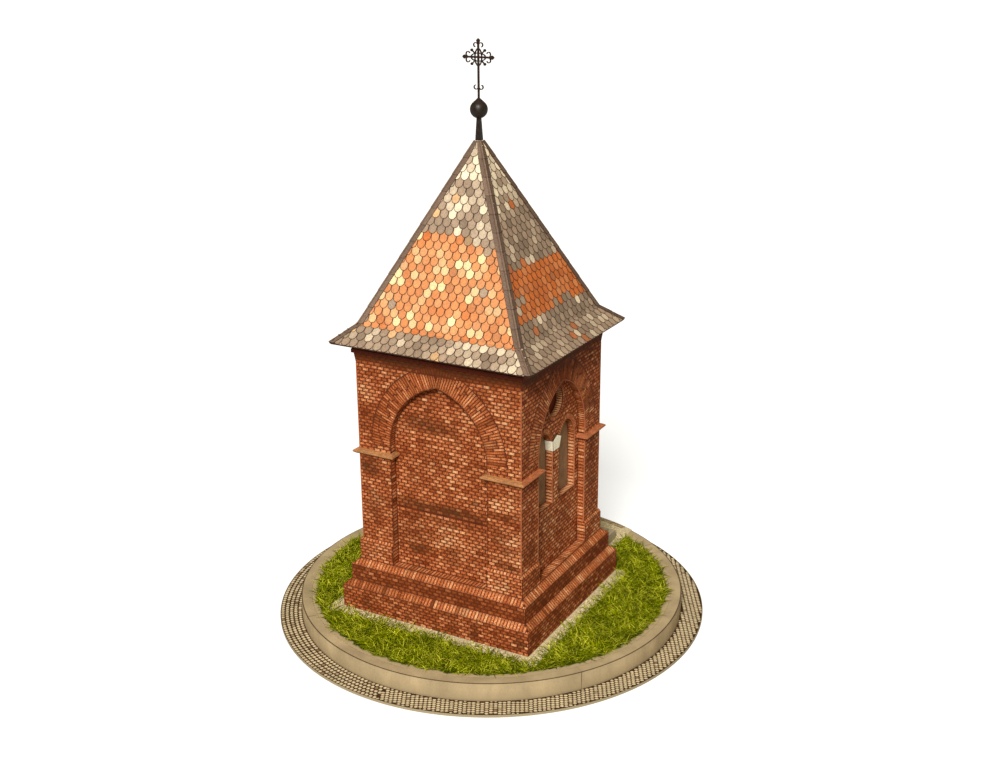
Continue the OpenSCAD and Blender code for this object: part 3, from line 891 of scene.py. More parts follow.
class Arch:
    """A pointed opening with a ring of bricks; its arch's centres lie `point` past its middle."""

    def __init__(self, half, foot, spring, point, ring, middle=0.0):
        self.half, self.foot, self.spring, self.point = half, foot, spring, point
        self.ring, self.middle = ring, middle
        self.radius = half + point
        self.top = math.acos(point / self.radius)

    def half_at(self, v, grow=0.0):
        """Half its width at height v once its arch is grown by `grow`; zero above it."""
        if v <= self.spring:
            return self.half
        radius = self.radius + grow
        rise = v - self.spring
        return max(0.0, math.sqrt(radius ** 2 - rise ** 2) - self.point) if rise < radius else 0.0

    def crown(self, grow=0.0):
        """Height of its tip once it is grown by `grow`."""
        return self.spring + math.sqrt((self.radius + grow) ** 2 - self.point ** 2)

    def start(self, angle):
        """Where a radial joint starts: at the opening's edge or at the mitre of the two halves."""
        return max(self.radius, self.point / max(math.cos(angle), 1e-6))

    def at(self, hand, reach, angle):
        """The place at a reach and an angle from the centre of the right (1) or left (-1) half."""
        return (self.middle + hand * (reach * math.cos(angle) - self.point),
                self.spring + reach * math.sin(angle))

    def gaps(self, low, high):
        """The span that it and its ring of bricks take out of a course."""
        if high <= self.foot + 0.3:
            return []
        reach = min(self.half_at(low, self.ring), self.half_at(high, self.ring))
        if low < self.spring:
            reach = self.half
        return [(self.middle - reach, self.middle + reach)] if reach > 0 else []

    def mullion_proud(self, hand, v):
        """How far its jamb comes out of the panel: a lancet's inner one is the mullion's side."""
        return MULLION_PROUD if self.middle * hand < 0 else 0.0

    def bed(self, shape, sheet):
        """Joint-coloured bed under its ring of bricks."""
        bed_band(shape, plain_face(sheet), self, margin=0.1, parts=16)

    def bricks(self, spots, sheet):
        """Its ring of bricks, and the headers on its inner faces."""
        lay_arch(spots, plain_face(sheet), self)
        soffit_bricks(spots, sheet, self)
        jamb_bricks(spots, sheet, self, self.mullion_proud, 0.2)
        if self.middle:  # the lancets, which stand off the side's middle, have a brick sill
            header_row(spots, sheet.ledge(self.middle, self.foot), self.half, 0.0, self.foot, 0.3)


class RoundLight:
    """A round opening in the middle of a side with a ring of bricks."""

    def __init__(self, radius, height, ring):
        self.radius, self.height, self.ring = radius, height, ring

    def half_at(self, v):
        """Half its width, with its ring, at height v."""
        outer, away = self.radius + self.ring, abs(v - self.height)
        return math.sqrt(outer ** 2 - away ** 2) if away < outer else 0.0

    def gaps(self, low, high):
        """The span that it and its ring of bricks take out of a course."""
        reach = min(self.half_at(low), self.half_at(high))
        return [(-reach, reach)] if reach > 0 else []

    def bed(self, shape, sheet, parts=48):
        """Joint-coloured bed under its ring of bricks."""
        inner, outer = self.radius, self.radius + self.ring + 0.1
        rows = []
        for part in range(parts):
            angle = math.tau * part / parts
            across, up = math.cos(angle), math.sin(angle)
            rows.append([dot(shape, sheet.at(reach * across, self.height + reach * up, lift))
                         for reach, lift in ((inner, -0.03), (outer, -0.03), (outer, BED), (inner, BED))])
        join_rows(shape, rows, ring=True)

    def bricks(self, spots, sheet):
        """Its ring of bricks, and the headers on its inner face."""
        joint = spots.sizes.joint
        count = round(math.tau * self.radius / spots.sizes.voussoir)
        step = math.tau / count
        reach = self.radius + self.ring / 2
        for row in range(count):
            angle = (row + 0.5) * step
            across, up = math.cos(angle), math.sin(angle)
            place = reach * across, self.height + reach * up
            spots.brick(sheet, *place, self.ring - joint, reach * step - joint, place, 0.06, RING_SPREAD,
                        angle=angle, lift=BED)
            # The headers on the inner face take the palest firing: painted light on the reveal.
            edge = sheet.at(self.radius * across, self.height + self.radius * up, -LAYER / 2)
            along = -up * sheet.right + across * sheet.up
            spots.add(Sheet(edge, sheet.out, along), 0, 0,
                      (LAYER - joint, self.radius * step - joint, spots.sizes.relief),
                      kiln=1.0 + spots.rng.gauss(0, 0.08))


def cut_span(left, right, gaps):
    """What is left of a span once the gaps are taken out of it."""
    spans = [(left, right)]
    for gap_left, gap_right in gaps:
        kept = []
        for a, b in spans:
            if gap_left > a:
                kept.append((a, min(b, gap_left)))
            if gap_right < b:
                kept.append((max(a, gap_right), b))
        spans = [(a, b) for a, b in kept if b > a]
    return spans


def lay_courses(spots, sheet_at, left, right, foot, top, gaps=None, extra=0.0):
    """Running bond from `foot` to `top`; `gaps` gives the spans that a course leaves out."""
    pitch, joint = spots.sizes.brick_length, spots.sizes.joint
    count = max(1, round((top - foot) / spots.sizes.course))
    height = (top - foot) / count
    for row in range(count):
        low = foot + row * height
        middle = low + height / 2
        sheet, on_sheet = sheet_at(middle)
        shift = (0.5 * pitch if row % 2 else 0.0) + spots.rng.uniform(-0.12, 0.12)
        for a, b in cut_span(left, right, gaps(low, low + height) if gaps else []):
            for k in range(math.floor((a - shift) / pitch), math.ceil((b - shift) / pitch) + 1):
                start = max(a, shift + k * pitch)
                end = min(b, shift + (k + 1) * pitch)
                if end - start > 2 * joint:
                    u = (start + end) / 2
                    spots.brick(sheet, u, on_sheet, end - start - joint, height - joint * 0.9, (u, middle),
                                extra)


def lay_arch(spots, sheet_at, arch, split=False):
    """Radial bricks round a pointed arch; `split` cuts most of them once, at varied places."""
    joint = spots.sizes.joint * 0.85
    outer = arch.radius + arch.ring
    step = spots.sizes.voussoir / arch.radius
    angle = step / 2
    while angle < math.pi / 2 and arch.start(angle) < outer - 0.3:
        start = arch.start(angle)
        for hand in (1, -1):
            edges = [start, outer]
            cut_at = arch.radius + arch.ring * spots.rng.uniform(0.25, 0.75)
            cove_at = (COVE_FOOT - arch.spring) / math.sin(angle)
            if start + 0.3 < cove_at < outer - 0.3:
                edges.insert(1, cove_at)
            elif split and cut_at > start + 0.6 and spots.rng.random() < 0.8:
                edges.insert(1, cut_at)
            for near, far in zip(edges, edges[1:]):
                mid = (near + far) / 2
                u, v = arch.at(hand, mid, angle)
                sheet, on_sheet = sheet_at(v)
                spots.brick(sheet, u, on_sheet, far - near - joint, mid * step - joint, (u, v), 0.02,
                            RING_SPREAD, angle=angle if hand > 0 else math.pi - angle, lift=BED)
        angle += step
    foot, crown = arch.crown(), arch.crown(arch.ring)
    edges = [foot, COVE_FOOT, crown] if foot < COVE_FOOT < crown else [foot, crown]
    for low, high in zip(edges, edges[1:]):
        mid = (low + high) / 2
        sheet, on_sheet = sheet_at(mid)
        spots.brick(sheet, arch.middle, on_sheet, high - low - joint, spots.sizes.voussoir - joint,
                    (arch.middle, mid), 0.0, RING_SPREAD, angle=math.pi / 2, lift=BED + KEYSTONE_LIFT)


def bed_band(shape, sheet_at, arch, margin=0.14, parts=28, across=8):
    """Joint-coloured bed under a pointed arch's bricks, one closed band for each half."""
    outer = arch.radius + arch.ring + margin
    end = math.acos(min(1.0, arch.point / (outer - 0.02)))
    for hand in (1, -1):
        rows = []
        for part in range(parts + 1):
            angle = end * part / parts
            inner = min(arch.start(angle), outer - 0.01)
            reaches = [inner + (outer - inner) * k / across for k in range(across + 1)]
            row = []
            outline = [(reach, -0.03) for reach in reaches] + [(reach, BED) for reach in reaches[::-1]]
            for reach, lift in outline:
                u, v = arch.at(hand, reach, angle)
                sheet, on_sheet = sheet_at(v)
                row.append(dot(shape, sheet.at(u, on_sheet, lift)))
            rows.append(row)
        join_rows(shape, rows)


def wall_face(side):
    """Finds the sheet at a height of a side's wall face, which leans out at the cove."""
    upright = side_sheet(side)
    cove = side_sheet(side, 0.0, COVE_FOOT, lean=(COVE_OUT, WALL_TOP - COVE_FOOT))
    stretch = math.hypot(COVE_OUT, WALL_TOP - COVE_FOOT) / (WALL_TOP - COVE_FOOT)
    return lambda v: (cove, (v - COVE_FOOT) * stretch) if v > COVE_FOOT else (upright, v)


def plain_face(sheet):
    """Finds always the same sheet."""
    return lambda v: (sheet, v)


SIDE_NAMES = ("blind", "right", "entrance", "left")


def niche(side):
    """The wide pointed niche of a side."""
    return Arch(NICHE_W[side % 2], WALL_FOOT, NICHE_SPRING, NICHE_POINT, RING_DEPTH)


class CHAPEL_OT_wall_bricks(bpy.types.Operator):
    """Lay the bricks of the outer wall layer, of the niche arches and of the board under the eaves"""

    bl_idname = "chapel.wall_bricks"
    bl_label = "Wall bricks"

    def execute(self, context):
        for side, name in enumerate(SIDE_NAMES):
            dress_side(context, side, "_fascia_bricks", fascia_side, 150, 31, "laid cornice", "cornice_card")
            dress_side(context, side, "_wall_bricks", wall_side, 100, 1)
            shape = bmesh.new()
            bed_band(shape, wall_face(side), niche(side))
            settled(shape, name + "_arch_bed", "brick_joint print", "brick_card")
        return {"FINISHED"}


def dress_side(context, side, ending, place_bricks, draws, seed, finish="laid brick", slot="brick_card"):
    """Makes one piece of bricks for a side, placed by a function that takes the side's spots."""
    spots = Spots(draws + side, millimetres(context), side)
    place_bricks(spots)
    block = block_shape()
    lay(SIDE_NAMES[side] + ending, spots, block, finish, slot, seed=side + seed)
    discard(block)


def wall_side(spots):
    """The outer layer of one side, the arch of its niche and the niche's inner faces."""
    side = spots.side
    arch, face, run = niche(side), wall_face(side), half_run(side)
    lay_courses(spots, face, -run, run, SOCLE_TOP, STRING_FOOT + 0.3, arch.gaps)
    lay_courses(spots, face, -run, run, STRING_TOP - 0.3, WALL_TOP, arch.gaps)
    lay_arch(spots, face, arch, split=True)
    jamb_bricks(spots, side_sheet(side), arch, reveal_proud, 0.12)
    soffit_bricks(spots, side_sheet(side), arch)


def fascia_side(spots):
    """The board under the eaves of one side, laid as bricks whose dark colour is partly print and partly
    painted shade.
    """
    run = half_run(spots.side) + FASCIA_OUT
    face = plain_face(side_sheet(spots.side, FASCIA_OUT))
    lay_courses(spots, face, -run, run, WALL_TOP, WALL_TOP + FASCIA_T)


def reveal_proud(hand, v):
    """How far the inner face of a niche comes out of the wall at a height; None at the string course."""
    if STRING_FOOT < v < STRING_TOP:
        return None
    return SOCLE_OUT if v < SOCLE_SHOULDER else 0.0


def jamb_bricks(spots, sheet, arch, proud_at, extra):
    """Headers on both jambs of an opening; `proud_at` says how far each comes out, or None."""
    joint = spots.sizes.joint
    count = round((arch.spring - arch.foot) / spots.sizes.course)
    rise = (arch.spring - arch.foot) / count
    for hand in (1, -1):
        u = arch.middle + hand * arch.half
        jamb = Sheet(sheet.at(u, 0, 0), hand * sheet.out, UP)
        for row in range(count):
            v = arch.foot + (row + 0.5) * rise
            proud = proud_at(hand, v)
            if proud is not None:
                spots.brick(jamb, hand * (proud - LAYER) / 2, v, LAYER + proud - joint / 2, rise - joint,
                            (u, v), extra)


def soffit_bricks(spots, sheet, arch):
    """Headers across the curved underside of a pointed arch, as deep as one layer of card."""
    joint = spots.sizes.joint
    count = round(arch.radius * arch.top / spots.sizes.voussoir)
    for row in range(count):
        angle = (row + 0.5) * arch.top / count
        for hand in (1, -1):
            u, v = arch.at(hand, arch.radius, angle)
            climb = -hand * math.sin(angle) * sheet.right + math.cos(angle) * sheet.up
            under = Sheet(sheet.at(u, v, -LAYER / 2), hand * sheet.out, climb)
            spots.brick(under, 0, 0, LAYER - joint / 2, arch.radius * arch.top / count - joint, (u, v), 0.02,
                        RING_SPREAD)


def header_row(spots, ledge, half, front, v, extra, spread=0.15, skip=0.0):
    """Headers side by side across a ledge, from `front` before its wall back through one layer of card."""
    joint = spots.sizes.joint
    depth = LAYER + front
    count = round(2 * half / spots.sizes.header)
    for k in range(count):
        u = -half + (k + 0.5) * 2 * half / count
        if abs(u) >= skip:
            spots.brick(ledge, u, depth / 2 - front, 2 * half / count - joint, depth - joint, (u, v), extra,
                        spread)


class CHAPEL_OT_panel_bricks(bpy.types.Operator):
    """Lay the bricks at the back of the niches, round the lancets, the round lights and the door"""

    bl_idname = "chapel.panel_bricks"
    bl_label = "Niche bricks"

    def execute(self, context):
        for side, name in enumerate(SIDE_NAMES):
            dress_side(context, side, "_niche_bricks", panel_side, 200, 11)
            openings = panel_openings(side)
            if openings:
                shape = bmesh.new()
                for opening in openings:
                    opening.bed(shape, side_sheet(side, -LAYER))
                settled(shape, name + "_opening_bed", "brick_joint print", "brick_card")
        return {"FINISHED"}


def panel_side(spots):
    """The back of one side's niche, the rings of its openings and the headers along its foot."""
    side = spots.side
    arch, openings = niche(side), panel_openings(side)
    sheet = side_sheet(side, -LAYER)

    def gaps(low, high):
        reach = arch.half_at(low)
        cuts = [(-100.0, -reach), (reach, 100.0)]
        return cuts + [cut for opening in openings for cut in opening.gaps(low, high)]
    bands = ((WALL_FOOT, GROOVE - 0.2), (GROOVE + 0.25, arch.crown()))
    for foot, top in bands if side == 0 else ((WALL_FOOT, arch.crown()),):
        lay_courses(spots, plain_face(sheet), -arch.half, arch.half, foot, top, gaps)
    for opening in openings:
        opening.bricks(spots, sheet)
    front, skip = (0.0, DOOR_W) if side == 2 else (SOCLE_OUT, 0.0)
    floor = side_sheet(side).ledge(0, WALL_FOOT)
    header_row(spots, floor, arch.half, front, WALL_FOOT, 0.12, SLOPE_SPREAD, skip)


def panel_openings(side):
    """The openings in a side's panel: none, the doorway, or two lancets and a round light."""
    if side == 0:
        return []
    if side == 2:
        return [Arch(DOOR_W, WALL_FOOT, DOOR_SPRING, NICHE_POINT, DOOR_RING)]
    return [Arch(LANCET_W, SILL_Z, LANCET_SPRING, LANCET_POINT, LIGHT_RING, hand * LANCET_X)
            for hand in (1, -1)] + [RoundLight(OCULUS_R, OCULUS_Z, OCULUS_RING)]


class CHAPEL_OT_mullions(bpy.types.Operator):
    """Lay the mullion's bricks and face the capitals"""

    bl_idname = "chapel.mullions"
    bl_label = "Mullions and capitals"

    def execute(self, context):
        for side in (1, 3):
            dress_side(context, side, "_mullion_bricks", mullion_side, 300, 0)
            shape = bmesh.new()
            capital_faces(shape, side)
            settled(shape, SIDE_NAMES[side] + "_capital_faces", "capital print", "capital_card")
        return {"FINISHED"}


def mullion_side(spots):
    """The square mullion between two lancets."""
    face = plain_face(side_sheet(spots.side, MULLION_PROUD - LAYER))
    lay_courses(spots, face, -MULLION_W, MULLION_W, SILL_Z, CAPITAL_FOOT, extra=0.1)


def capital_faces(shape, side):
    """Pale plates on the front and the flanks of a mullion's capital."""
    sheet = side_sheet(side, -LAYER)
    foot, shoulder = CAPITAL_FOOT_W, CAPITAL_W
    for hand in (1, -1):
        capital_plate(shape, hand * sheet.right, [
            sheet.at(hand * foot, CAPITAL_FOOT, MULLION_PROUD), sheet.at(hand * foot, CAPITAL_FOOT, -LAYER),
            sheet.at(hand * shoulder, CAPITAL_SHOULDER, -LAYER),
            sheet.at(hand * shoulder, CAPITAL_SHOULDER, CAPITAL_PROUD)])
    capital_plate(shape, sheet.out, [
        sheet.at(-foot, CAPITAL_FOOT, MULLION_PROUD), sheet.at(foot, CAPITAL_FOOT, MULLION_PROUD),
        sheet.at(shoulder, CAPITAL_SHOULDER, CAPITAL_PROUD), sheet.at(0, CAPITAL_PEAK, CAPITAL_PROUD),
        sheet.at(-shoulder, CAPITAL_SHOULDER, CAPITAL_PROUD)])


def capital_plate(shape, normal, face):
    """Thin plates on one face of the capital, parted at its shoulders, inside a dark arris."""
    inset, thick, lap = 0.22, 0.06, 0.03
    middle = sum(face, Vector()) / len(face)
    rim = [point + inset * (middle - point).normalized() for point in face]
    parts = [rim]
    if len(rim) == 5:
        parts = [[rim[0], rim[1], rim[2], rim[4]], [rim[4] - lap * UP, rim[2] - lap * UP, rim[3]]]
    for part in parts:
        join_rows(shape, [[dot(shape, point + lift * normal) for point in part] for lift in (-0.03, thick)])


# ---------- plinth, socles and string course ----------
def lay_headers(spots, sheet, left, right, length, mitre=0.0, extra=0.08, gap=0.0):
    """Headers side by side along a strip, whose upper edge is shorter by `mitre` at each end."""
    joint = spots.sizes.joint
    count = max(1, round((right - left) / spots.sizes.header))
    width = (right - left) / count
    for k in range(count):
        u = left + (k + 0.5) * width
        reach = length * (min(1.0, (u - left) / mitre, (right - u) / mitre) if mitre else 1.0)
        if reach >= 0.3 and abs(u) >= gap:
            height = sheet.at(u, reach / 2).z - LAWN_TOP
            spots.brick(sheet, u, reach / 2, width - joint * 0.8, reach - joint * 0.5, (u, height), extra,
                        SLOPE_SPREAD)


def slope(side, out, height, out_top, top):
    """Sheet and length of a sloping strip from one level to the next."""
    rise, back = top - height, out_top - out
    return side_sheet(side, out, height, lean=(back, rise)), math.hypot(rise, back)


class CHAPEL_OT_plinth_bricks(bpy.types.Operator):
    """Lay the bricks and sloping headers of the two plinths and of the pier socles"""

    bl_idname = "chapel.plinth_bricks"
    bl_label = "Plinth bricks"

    def execute(self, context):
        for side in range(4):
            dress_side(context, side, "_plinth_bricks", plinth_side, 400, 21)
        return {"FINISHED"}


def plinth_side(spots):
    """Both plinths of one side, broken by the steps where they are, and the socles of its two piers."""
    side = spots.side
    stair = STEP_W if side == 2 else 0.0
    for out, foot, shoulder, out_top, top in ((LOW_OUT, GRAVEL_T, LOW_SHOULDER, UP_OUT, UP_FOOT),
                                              (UP_OUT, UP_FOOT, UP_SHOULDER, SOCLE_OUT, WALL_FOOT)):
        run = half_run(side) + out
        lay_courses(spots, plain_face(side_sheet(side, out)), -run, run, foot, shoulder,
                    lambda low, high: [(-stair, stair)] if stair else [], extra=-0.08)
        sheet, length = slope(side, out, shoulder, out_top, top)
        lay_headers(spots, sheet, -run, run, length, out - out_top, gap=stair)
    face = plain_face(side_sheet(side, SOCLE_OUT))
    sheet, length = slope(side, SOCLE_OUT, SOCLE_SHOULDER, 0.0, SOCLE_TOP)
    for hand in (1, -1):
        near, far = sorted((hand * NICHE_W[side % 2], hand * (half_run(side) + SOCLE_OUT)))
        lay_courses(spots, face, near, far, WALL_FOOT, SOCLE_SHOULDER, extra=0.05)
        lay_headers(spots, sheet, near, far, length, extra=0.1)


class CHAPEL_OT_string_course(bpy.types.Operator):
    """Sweep the moulded band round the four corner piers"""

    bl_idname = "chapel.string_course"
    bl_label = "String course"

    def execute(self, context):
        shape = new_shape("kiln", "rim")
        furthest = max(out for out, height in STRING_SECTION)
        for side in range(4):
            rows = []
            for spot, outward, after in pier_path(side):
                wear = 1 + 0.1 * noise.noise(spot / 1.5)
                tone = (0.22 if after % 2 == 0 else 0.8) + 0.35 * noise.noise(spot / 3)
                # rim darkens the band's lower faces: painted shade under the moulding.
                rows.append([
                    dot(shape, spot + min(out * wear, furthest) * outward + (LAWN_TOP + height) * UP,
                        kiln=tone, rim=max(0.0, 1.0 - 0.35 * number))
                    for number, (out, height) in enumerate(STRING_SECTION)])
            join_rows(shape, rows)
        band = finished(shape, "string_course_band", "string print")
        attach(band, BODY)
        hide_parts("string_course")
        return {"FINISHED"}


def pier_path(side, step=1.1):
    """Path round the pier at a side's right end: places, mitred outward directions and their sides."""
    after = (side + 1) % 4
    right, outward = side_axes(side)
    back = -outward

    def at(owner, u, n):
        along, away = side_axes(owner)
        return Vector((0, MIDDLE_Y, 0)) + u * along + (face_at(owner) + n) * away
    near, far = NICHE_W[side % 2], -NICHE_W[after % 2]
    stops = ((at(side, near, -LAYER), -right), (at(side, near, 0), outward - right),
             (at(side, half_run(side), 0), outward + right), (at(after, far, 0), right + back),
             (at(after, far, -LAYER), back))
    for number, ((start, turn), (end, last)) in enumerate(zip(stops, stops[1:])):
        count = max(1, round((end - start).length / step))
        owner = side if number < 2 else after
        first = 0 if number != 2 else 0.02
        for k in range(count):
            share = max(first, k / count)
            yield start.lerp(end, share), turn.lerp(last, share), owner
        if number in (1, 3):
            yield end, last, owner


class CHAPEL_OT_card_edges(bpy.types.Operator):
    """Lay the pale cut edges of the brick sheets along the corners and round the openings"""

    bl_idname = "chapel.card_edges"
    bl_label = "Card edges"

    def execute(self, context):
        shape = bmesh.new()
        wide, proud = 0.2, 0.06
        outline = ((-wide, -wide), (proud, -wide), (proud, proud), (-wide, proud))
        for x in (-1, 1):
            for y in (-1, 1):
                for levels in ((SOCLE_TOP, STRING_FOOT), (STRING_TOP, COVE_FOOT)):
                    join_rows(shape, [[
                        dot(shape, Vector((x * (HALF_W + a), MIDDLE_Y + y * (HALF_D + b), LAWN_TOP + z)))
                        for a, b in outline] for z in levels])
        for side in (1, 3):
            for arch in panel_openings(side)[:2]:
                arris(shape, side_sheet(side, -LAYER), arch, SILL_Z)
            arris(shape, side_sheet(side), niche(side), SOCLE_TOP)
        settled(shape, "card_edges", "card_edge print", "brick_card")
        return {"FINISHED"}


def arris(shape, sheet, arch, foot, parts=16):
    """A thin pale line along the jambs and the arch of one opening."""
    wide, proud = 0.14, 0.09
    for hand in (1, -1):
        u = arch.middle + hand * arch.half
        path = [(u, foot, 1.0, 0.0), (u, arch.spring, 1.0, 0.0)]
        for part in range(1, parts + 1):
            angle = arch.top * part / parts
            path.append((*arch.at(hand, arch.radius, angle), math.cos(angle), math.sin(angle)))
        join_rows(shape, [[
            dot(shape, sheet.at(u + hand * reach * away, v + reach * rise, lift))
            for reach, lift in ((-0.06, -0.2), (wide, -0.03), (wide, proud), (-0.06, proud))]
            for u, v, away, rise in path])


# ---------- door and steps ----------
class CHAPEL_OT_door(bpy.types.Operator):
    """Build the planks, straps and ring of the entrance door"""

    bl_idname = "chapel.door"
    bl_label = "Door"

    def execute(self, context):
        door = Sheet((0, corners("entrance_door")[1].y, LAWN_TOP), (-1, 0, 0), UP)
        shape = new_shape("kiln", "rim")
        planks(shape, door)
        settled(shape, "door_planks", "laid door", "door_card")
        shape = bmesh.new()
        outline = ((-7.4, -0.5), (1.2, -0.42), (2.2, -0.9), (3.4, 0.0), (2.2, 0.9), (1.2, 0.42), (-7.4, 0.5))
        for height in STRAP_HEIGHTS:
            join_rows(shape, [[dot(shape, door.at(u, height + v, lift)) for u, v in outline]
                              for lift in (0.15, 0.34)])
        wire_ring(shape, door, 5.2, 33.0, radius=1.1, wire=0.16, lift=0.38)
        settled(shape, "door_ironwork", "iron print", "finial_card")
        return {"FINISHED"}


def planks(shape, door):
    """Upright planks side by side, cut to the door's pointed head, with bevelled edges."""
    rng = random.Random(61)
    half, foot, gap = DOOR_W - PLANK_MARGIN, WALL_FOOT + 0.15, 0.09
    for k in range(PLANKS):
        left = -half + 2 * half * k / PLANKS + gap
        right = -half + 2 * half * (k + 1) / PLANKS - gap
        tone = rng.random()
        rows = []
        for inset, lift, line in ((0.0, -0.02, 1.0), (0.0, 0.12, 0.6), (0.12, 0.2, 0.0)):
            a, b = left + inset, right - inset
            top = [(u, plank_top(u) - inset) for u in (b, b + (a - b) / 3, b + 2 * (a - b) / 3, a)]
            rows.append([dot(shape, door.at(u, v, lift), kiln=tone, rim=line)
                         for u, v in [(a, foot + inset), (b, foot + inset)] + top])
        join_rows(shape, rows)


def wire_ring(shape, sheet, u, v, radius, wire, lift, parts=24, sides=8):
    """A ring of wire that lies on a sheet, with its middle at (u, v)."""
    rows = []
    for around in (math.tau * part / parts for part in range(parts)):
        turns = [math.tau * side / sides for side in range(sides)]
        rows.append([dot(shape, sheet.at(u + (radius + wire * math.cos(turn)) * math.sin(around),
                                         v - (radius + wire * math.cos(turn)) * math.cos(around),
                                         lift + wire * math.sin(turn))) for turn in turns])
    join_rows(shape, rows, ring=True)


def plank_top(u):
    """Height of the door's pointed head at one place across it."""
    radius = DOOR_W - PLANK_MARGIN + NICHE_POINT
    return DOOR_SPRING + math.sqrt(radius ** 2 - (abs(u) + NICHE_POINT) ** 2)


class CHAPEL_OT_steps(bpy.types.Operator):
    """Lay the stone slabs of the steps and the door sill"""

    bl_idname = "chapel.steps"
    bl_label = "Steps"

    def execute(self, context):
        block = block_shape(0.02, edge=0.12)
        spots = Spots(71)
        face = side_sheet(2)
        wall_y = MIDDLE_Y + HALF_D
        levels = [(top.z - LAWN_TOP, top.y - wall_y) for top in (corners(node)[1] for node in STEP_NODES)]
        joint, seam, thick = 0.14, 0.12, 0.06
        below = 0.0
        for number, (top, far) in enumerate(levels):
            near = levels[number + 1][1] if number + 1 < len(levels) else 0.0
            tread, riser = face.ledge(0, top), side_sheet(2, far)
            slabs = 4 if number % 2 else 3
            width = 2 * STEP_W / slabs
            for k in range(slabs):
                u = -STEP_W + (k + 0.5) * width
                spots.add(tread, u, -(near + far) / 2, (width - joint, far - near - 0.1, thick))
                spots.add(riser, u, (top + below) / 2, (width - joint, top - below - seam, thick))
            for hand in (1, -1):
                end = Sheet(face.at(hand * STEP_W, 0, 0), -hand * face.out, UP)
                start = LOW_OUT if top < UP_FOOT else UP_OUT
                blocks = max(1, round((far - (LOW_OUT if number < LOW_STEPS else 0)) / END_STONE))
                run = (far - start) / blocks if far > start else 0
                for k in range(blocks if run else 0):
                    spots.add(end, -hand * (start + (k + 0.5) * run), (top + below) / 2,
                              (run - joint, top - below - seam, 0.05), kiln=spots.rng.uniform(0, 0.5))
            below = top
        lay("step_slabs", spots, block, "laid stone", "step_card", seed=41)
        discard(block)
        return {"FINISHED"}


# ---------- roof ----------
def tile_kind(spots, u, v, band_at):
    """Firing of a tile at one place of a slope, and whether the place is in an orange band."""
    side, rng = spots.side, spots.rng
    broad = side % 2 == 0
    red = (0.42 if broad else 0.97) + 0.3 * noise.noise(Vector((u / 6.0, v / 5.0, 15.0 + side)))
    v += band_at
    grey, cream, orange = band_odds(side, u, v)
    if rng.random() > grey + cream:
        kind = min(1.0, max(RUSTIEST, RUSTIEST + 0.34 * (1 - red) + rng.gauss(0, 0.05)))
    else:
        tone = cream / (grey + cream) + 0.55 * noise.noise(Vector((u / 4.5, v / 4.5, 33.0 + side)))
        tone += rng.gauss(0, 0.2 if v > 0 else 0.1)
        kind = PALEST * min(1.0, max(0.06, tone))
    if broad and orange > 0.5 and 0.3 < kind < PALEST + 0.01:
        kind = 0.95 + 0.1 * (kind - 0.3)
    for patch_side, patch_u, patch_v, patch in PALE_TILES:
        near = math.hypot(u - patch_u, v - patch_v) < patch
        if patch_side == side and near and rng.random() < 0.75:
            kind = rng.uniform(0.97, 1.0) if broad else rng.uniform(0.45, PALEST)
    return kind, orange > 0.5


def band_odds(side, u, v):
    """Odds of grey, cream and orange tiles at one place of a slope; v is below zero on the skirt."""
    uneven = 1.2 * noise.noise(Vector((u / 4.0, 7.7 * side, 1.0)))
    broad = side % 2 == 0
    if v < ROW_SHIFT - 1:
        if broad:
            return (0.55, 0.41, 0.04) if u < 6 + 4 * uneven else (0.42, 0.54, 0.04)
        return (0.6, 0.35, 0.05)
    if v > 46 + uneven:
        return (0.12, 0.88, 0.0) if broad else (0.02, 0.98, 0.0)
    if broad:
        edge = 28.7 + uneven - (2.4 if u > 3 else 0.0)
        return (0.48, 0.45, 0.07) if v > edge else (0.03, 0.04, 0.93)
    if v > 38 + uneven:
        return (0.46, 0.52, 0.02)
    if v > 18.5 + uneven:
        return (0.65, 0.28, 0.07)
    if v > (7.6 if 7 < u < 12 else 5.0):
        return (0.05, 0.02, 0.93)
    return (0.8, 0.16, 0.04)


# Patches of pale tiles: side, middle along the slope, middle up the slope, reach.
PALE_TILES = ((0, -17.0, 13.5, 2.6), (0, -12.5, 26.0, 2.2), (0, 4.0, 21.0, 1.6), (1, -8.0, 3.0, 2.5))
ROW_SHIFT = -1.7       # where the first row of the steep slope starts, below the crease
SKIRT_START = -0.2     # where the first row of the skirt starts, past the eaves
SKIRT_LAP = 1.5        # how far the skirt's last row runs on under the steep slope
TILE_SHIFT = -0.3      # how far all columns of tiles stand to the left


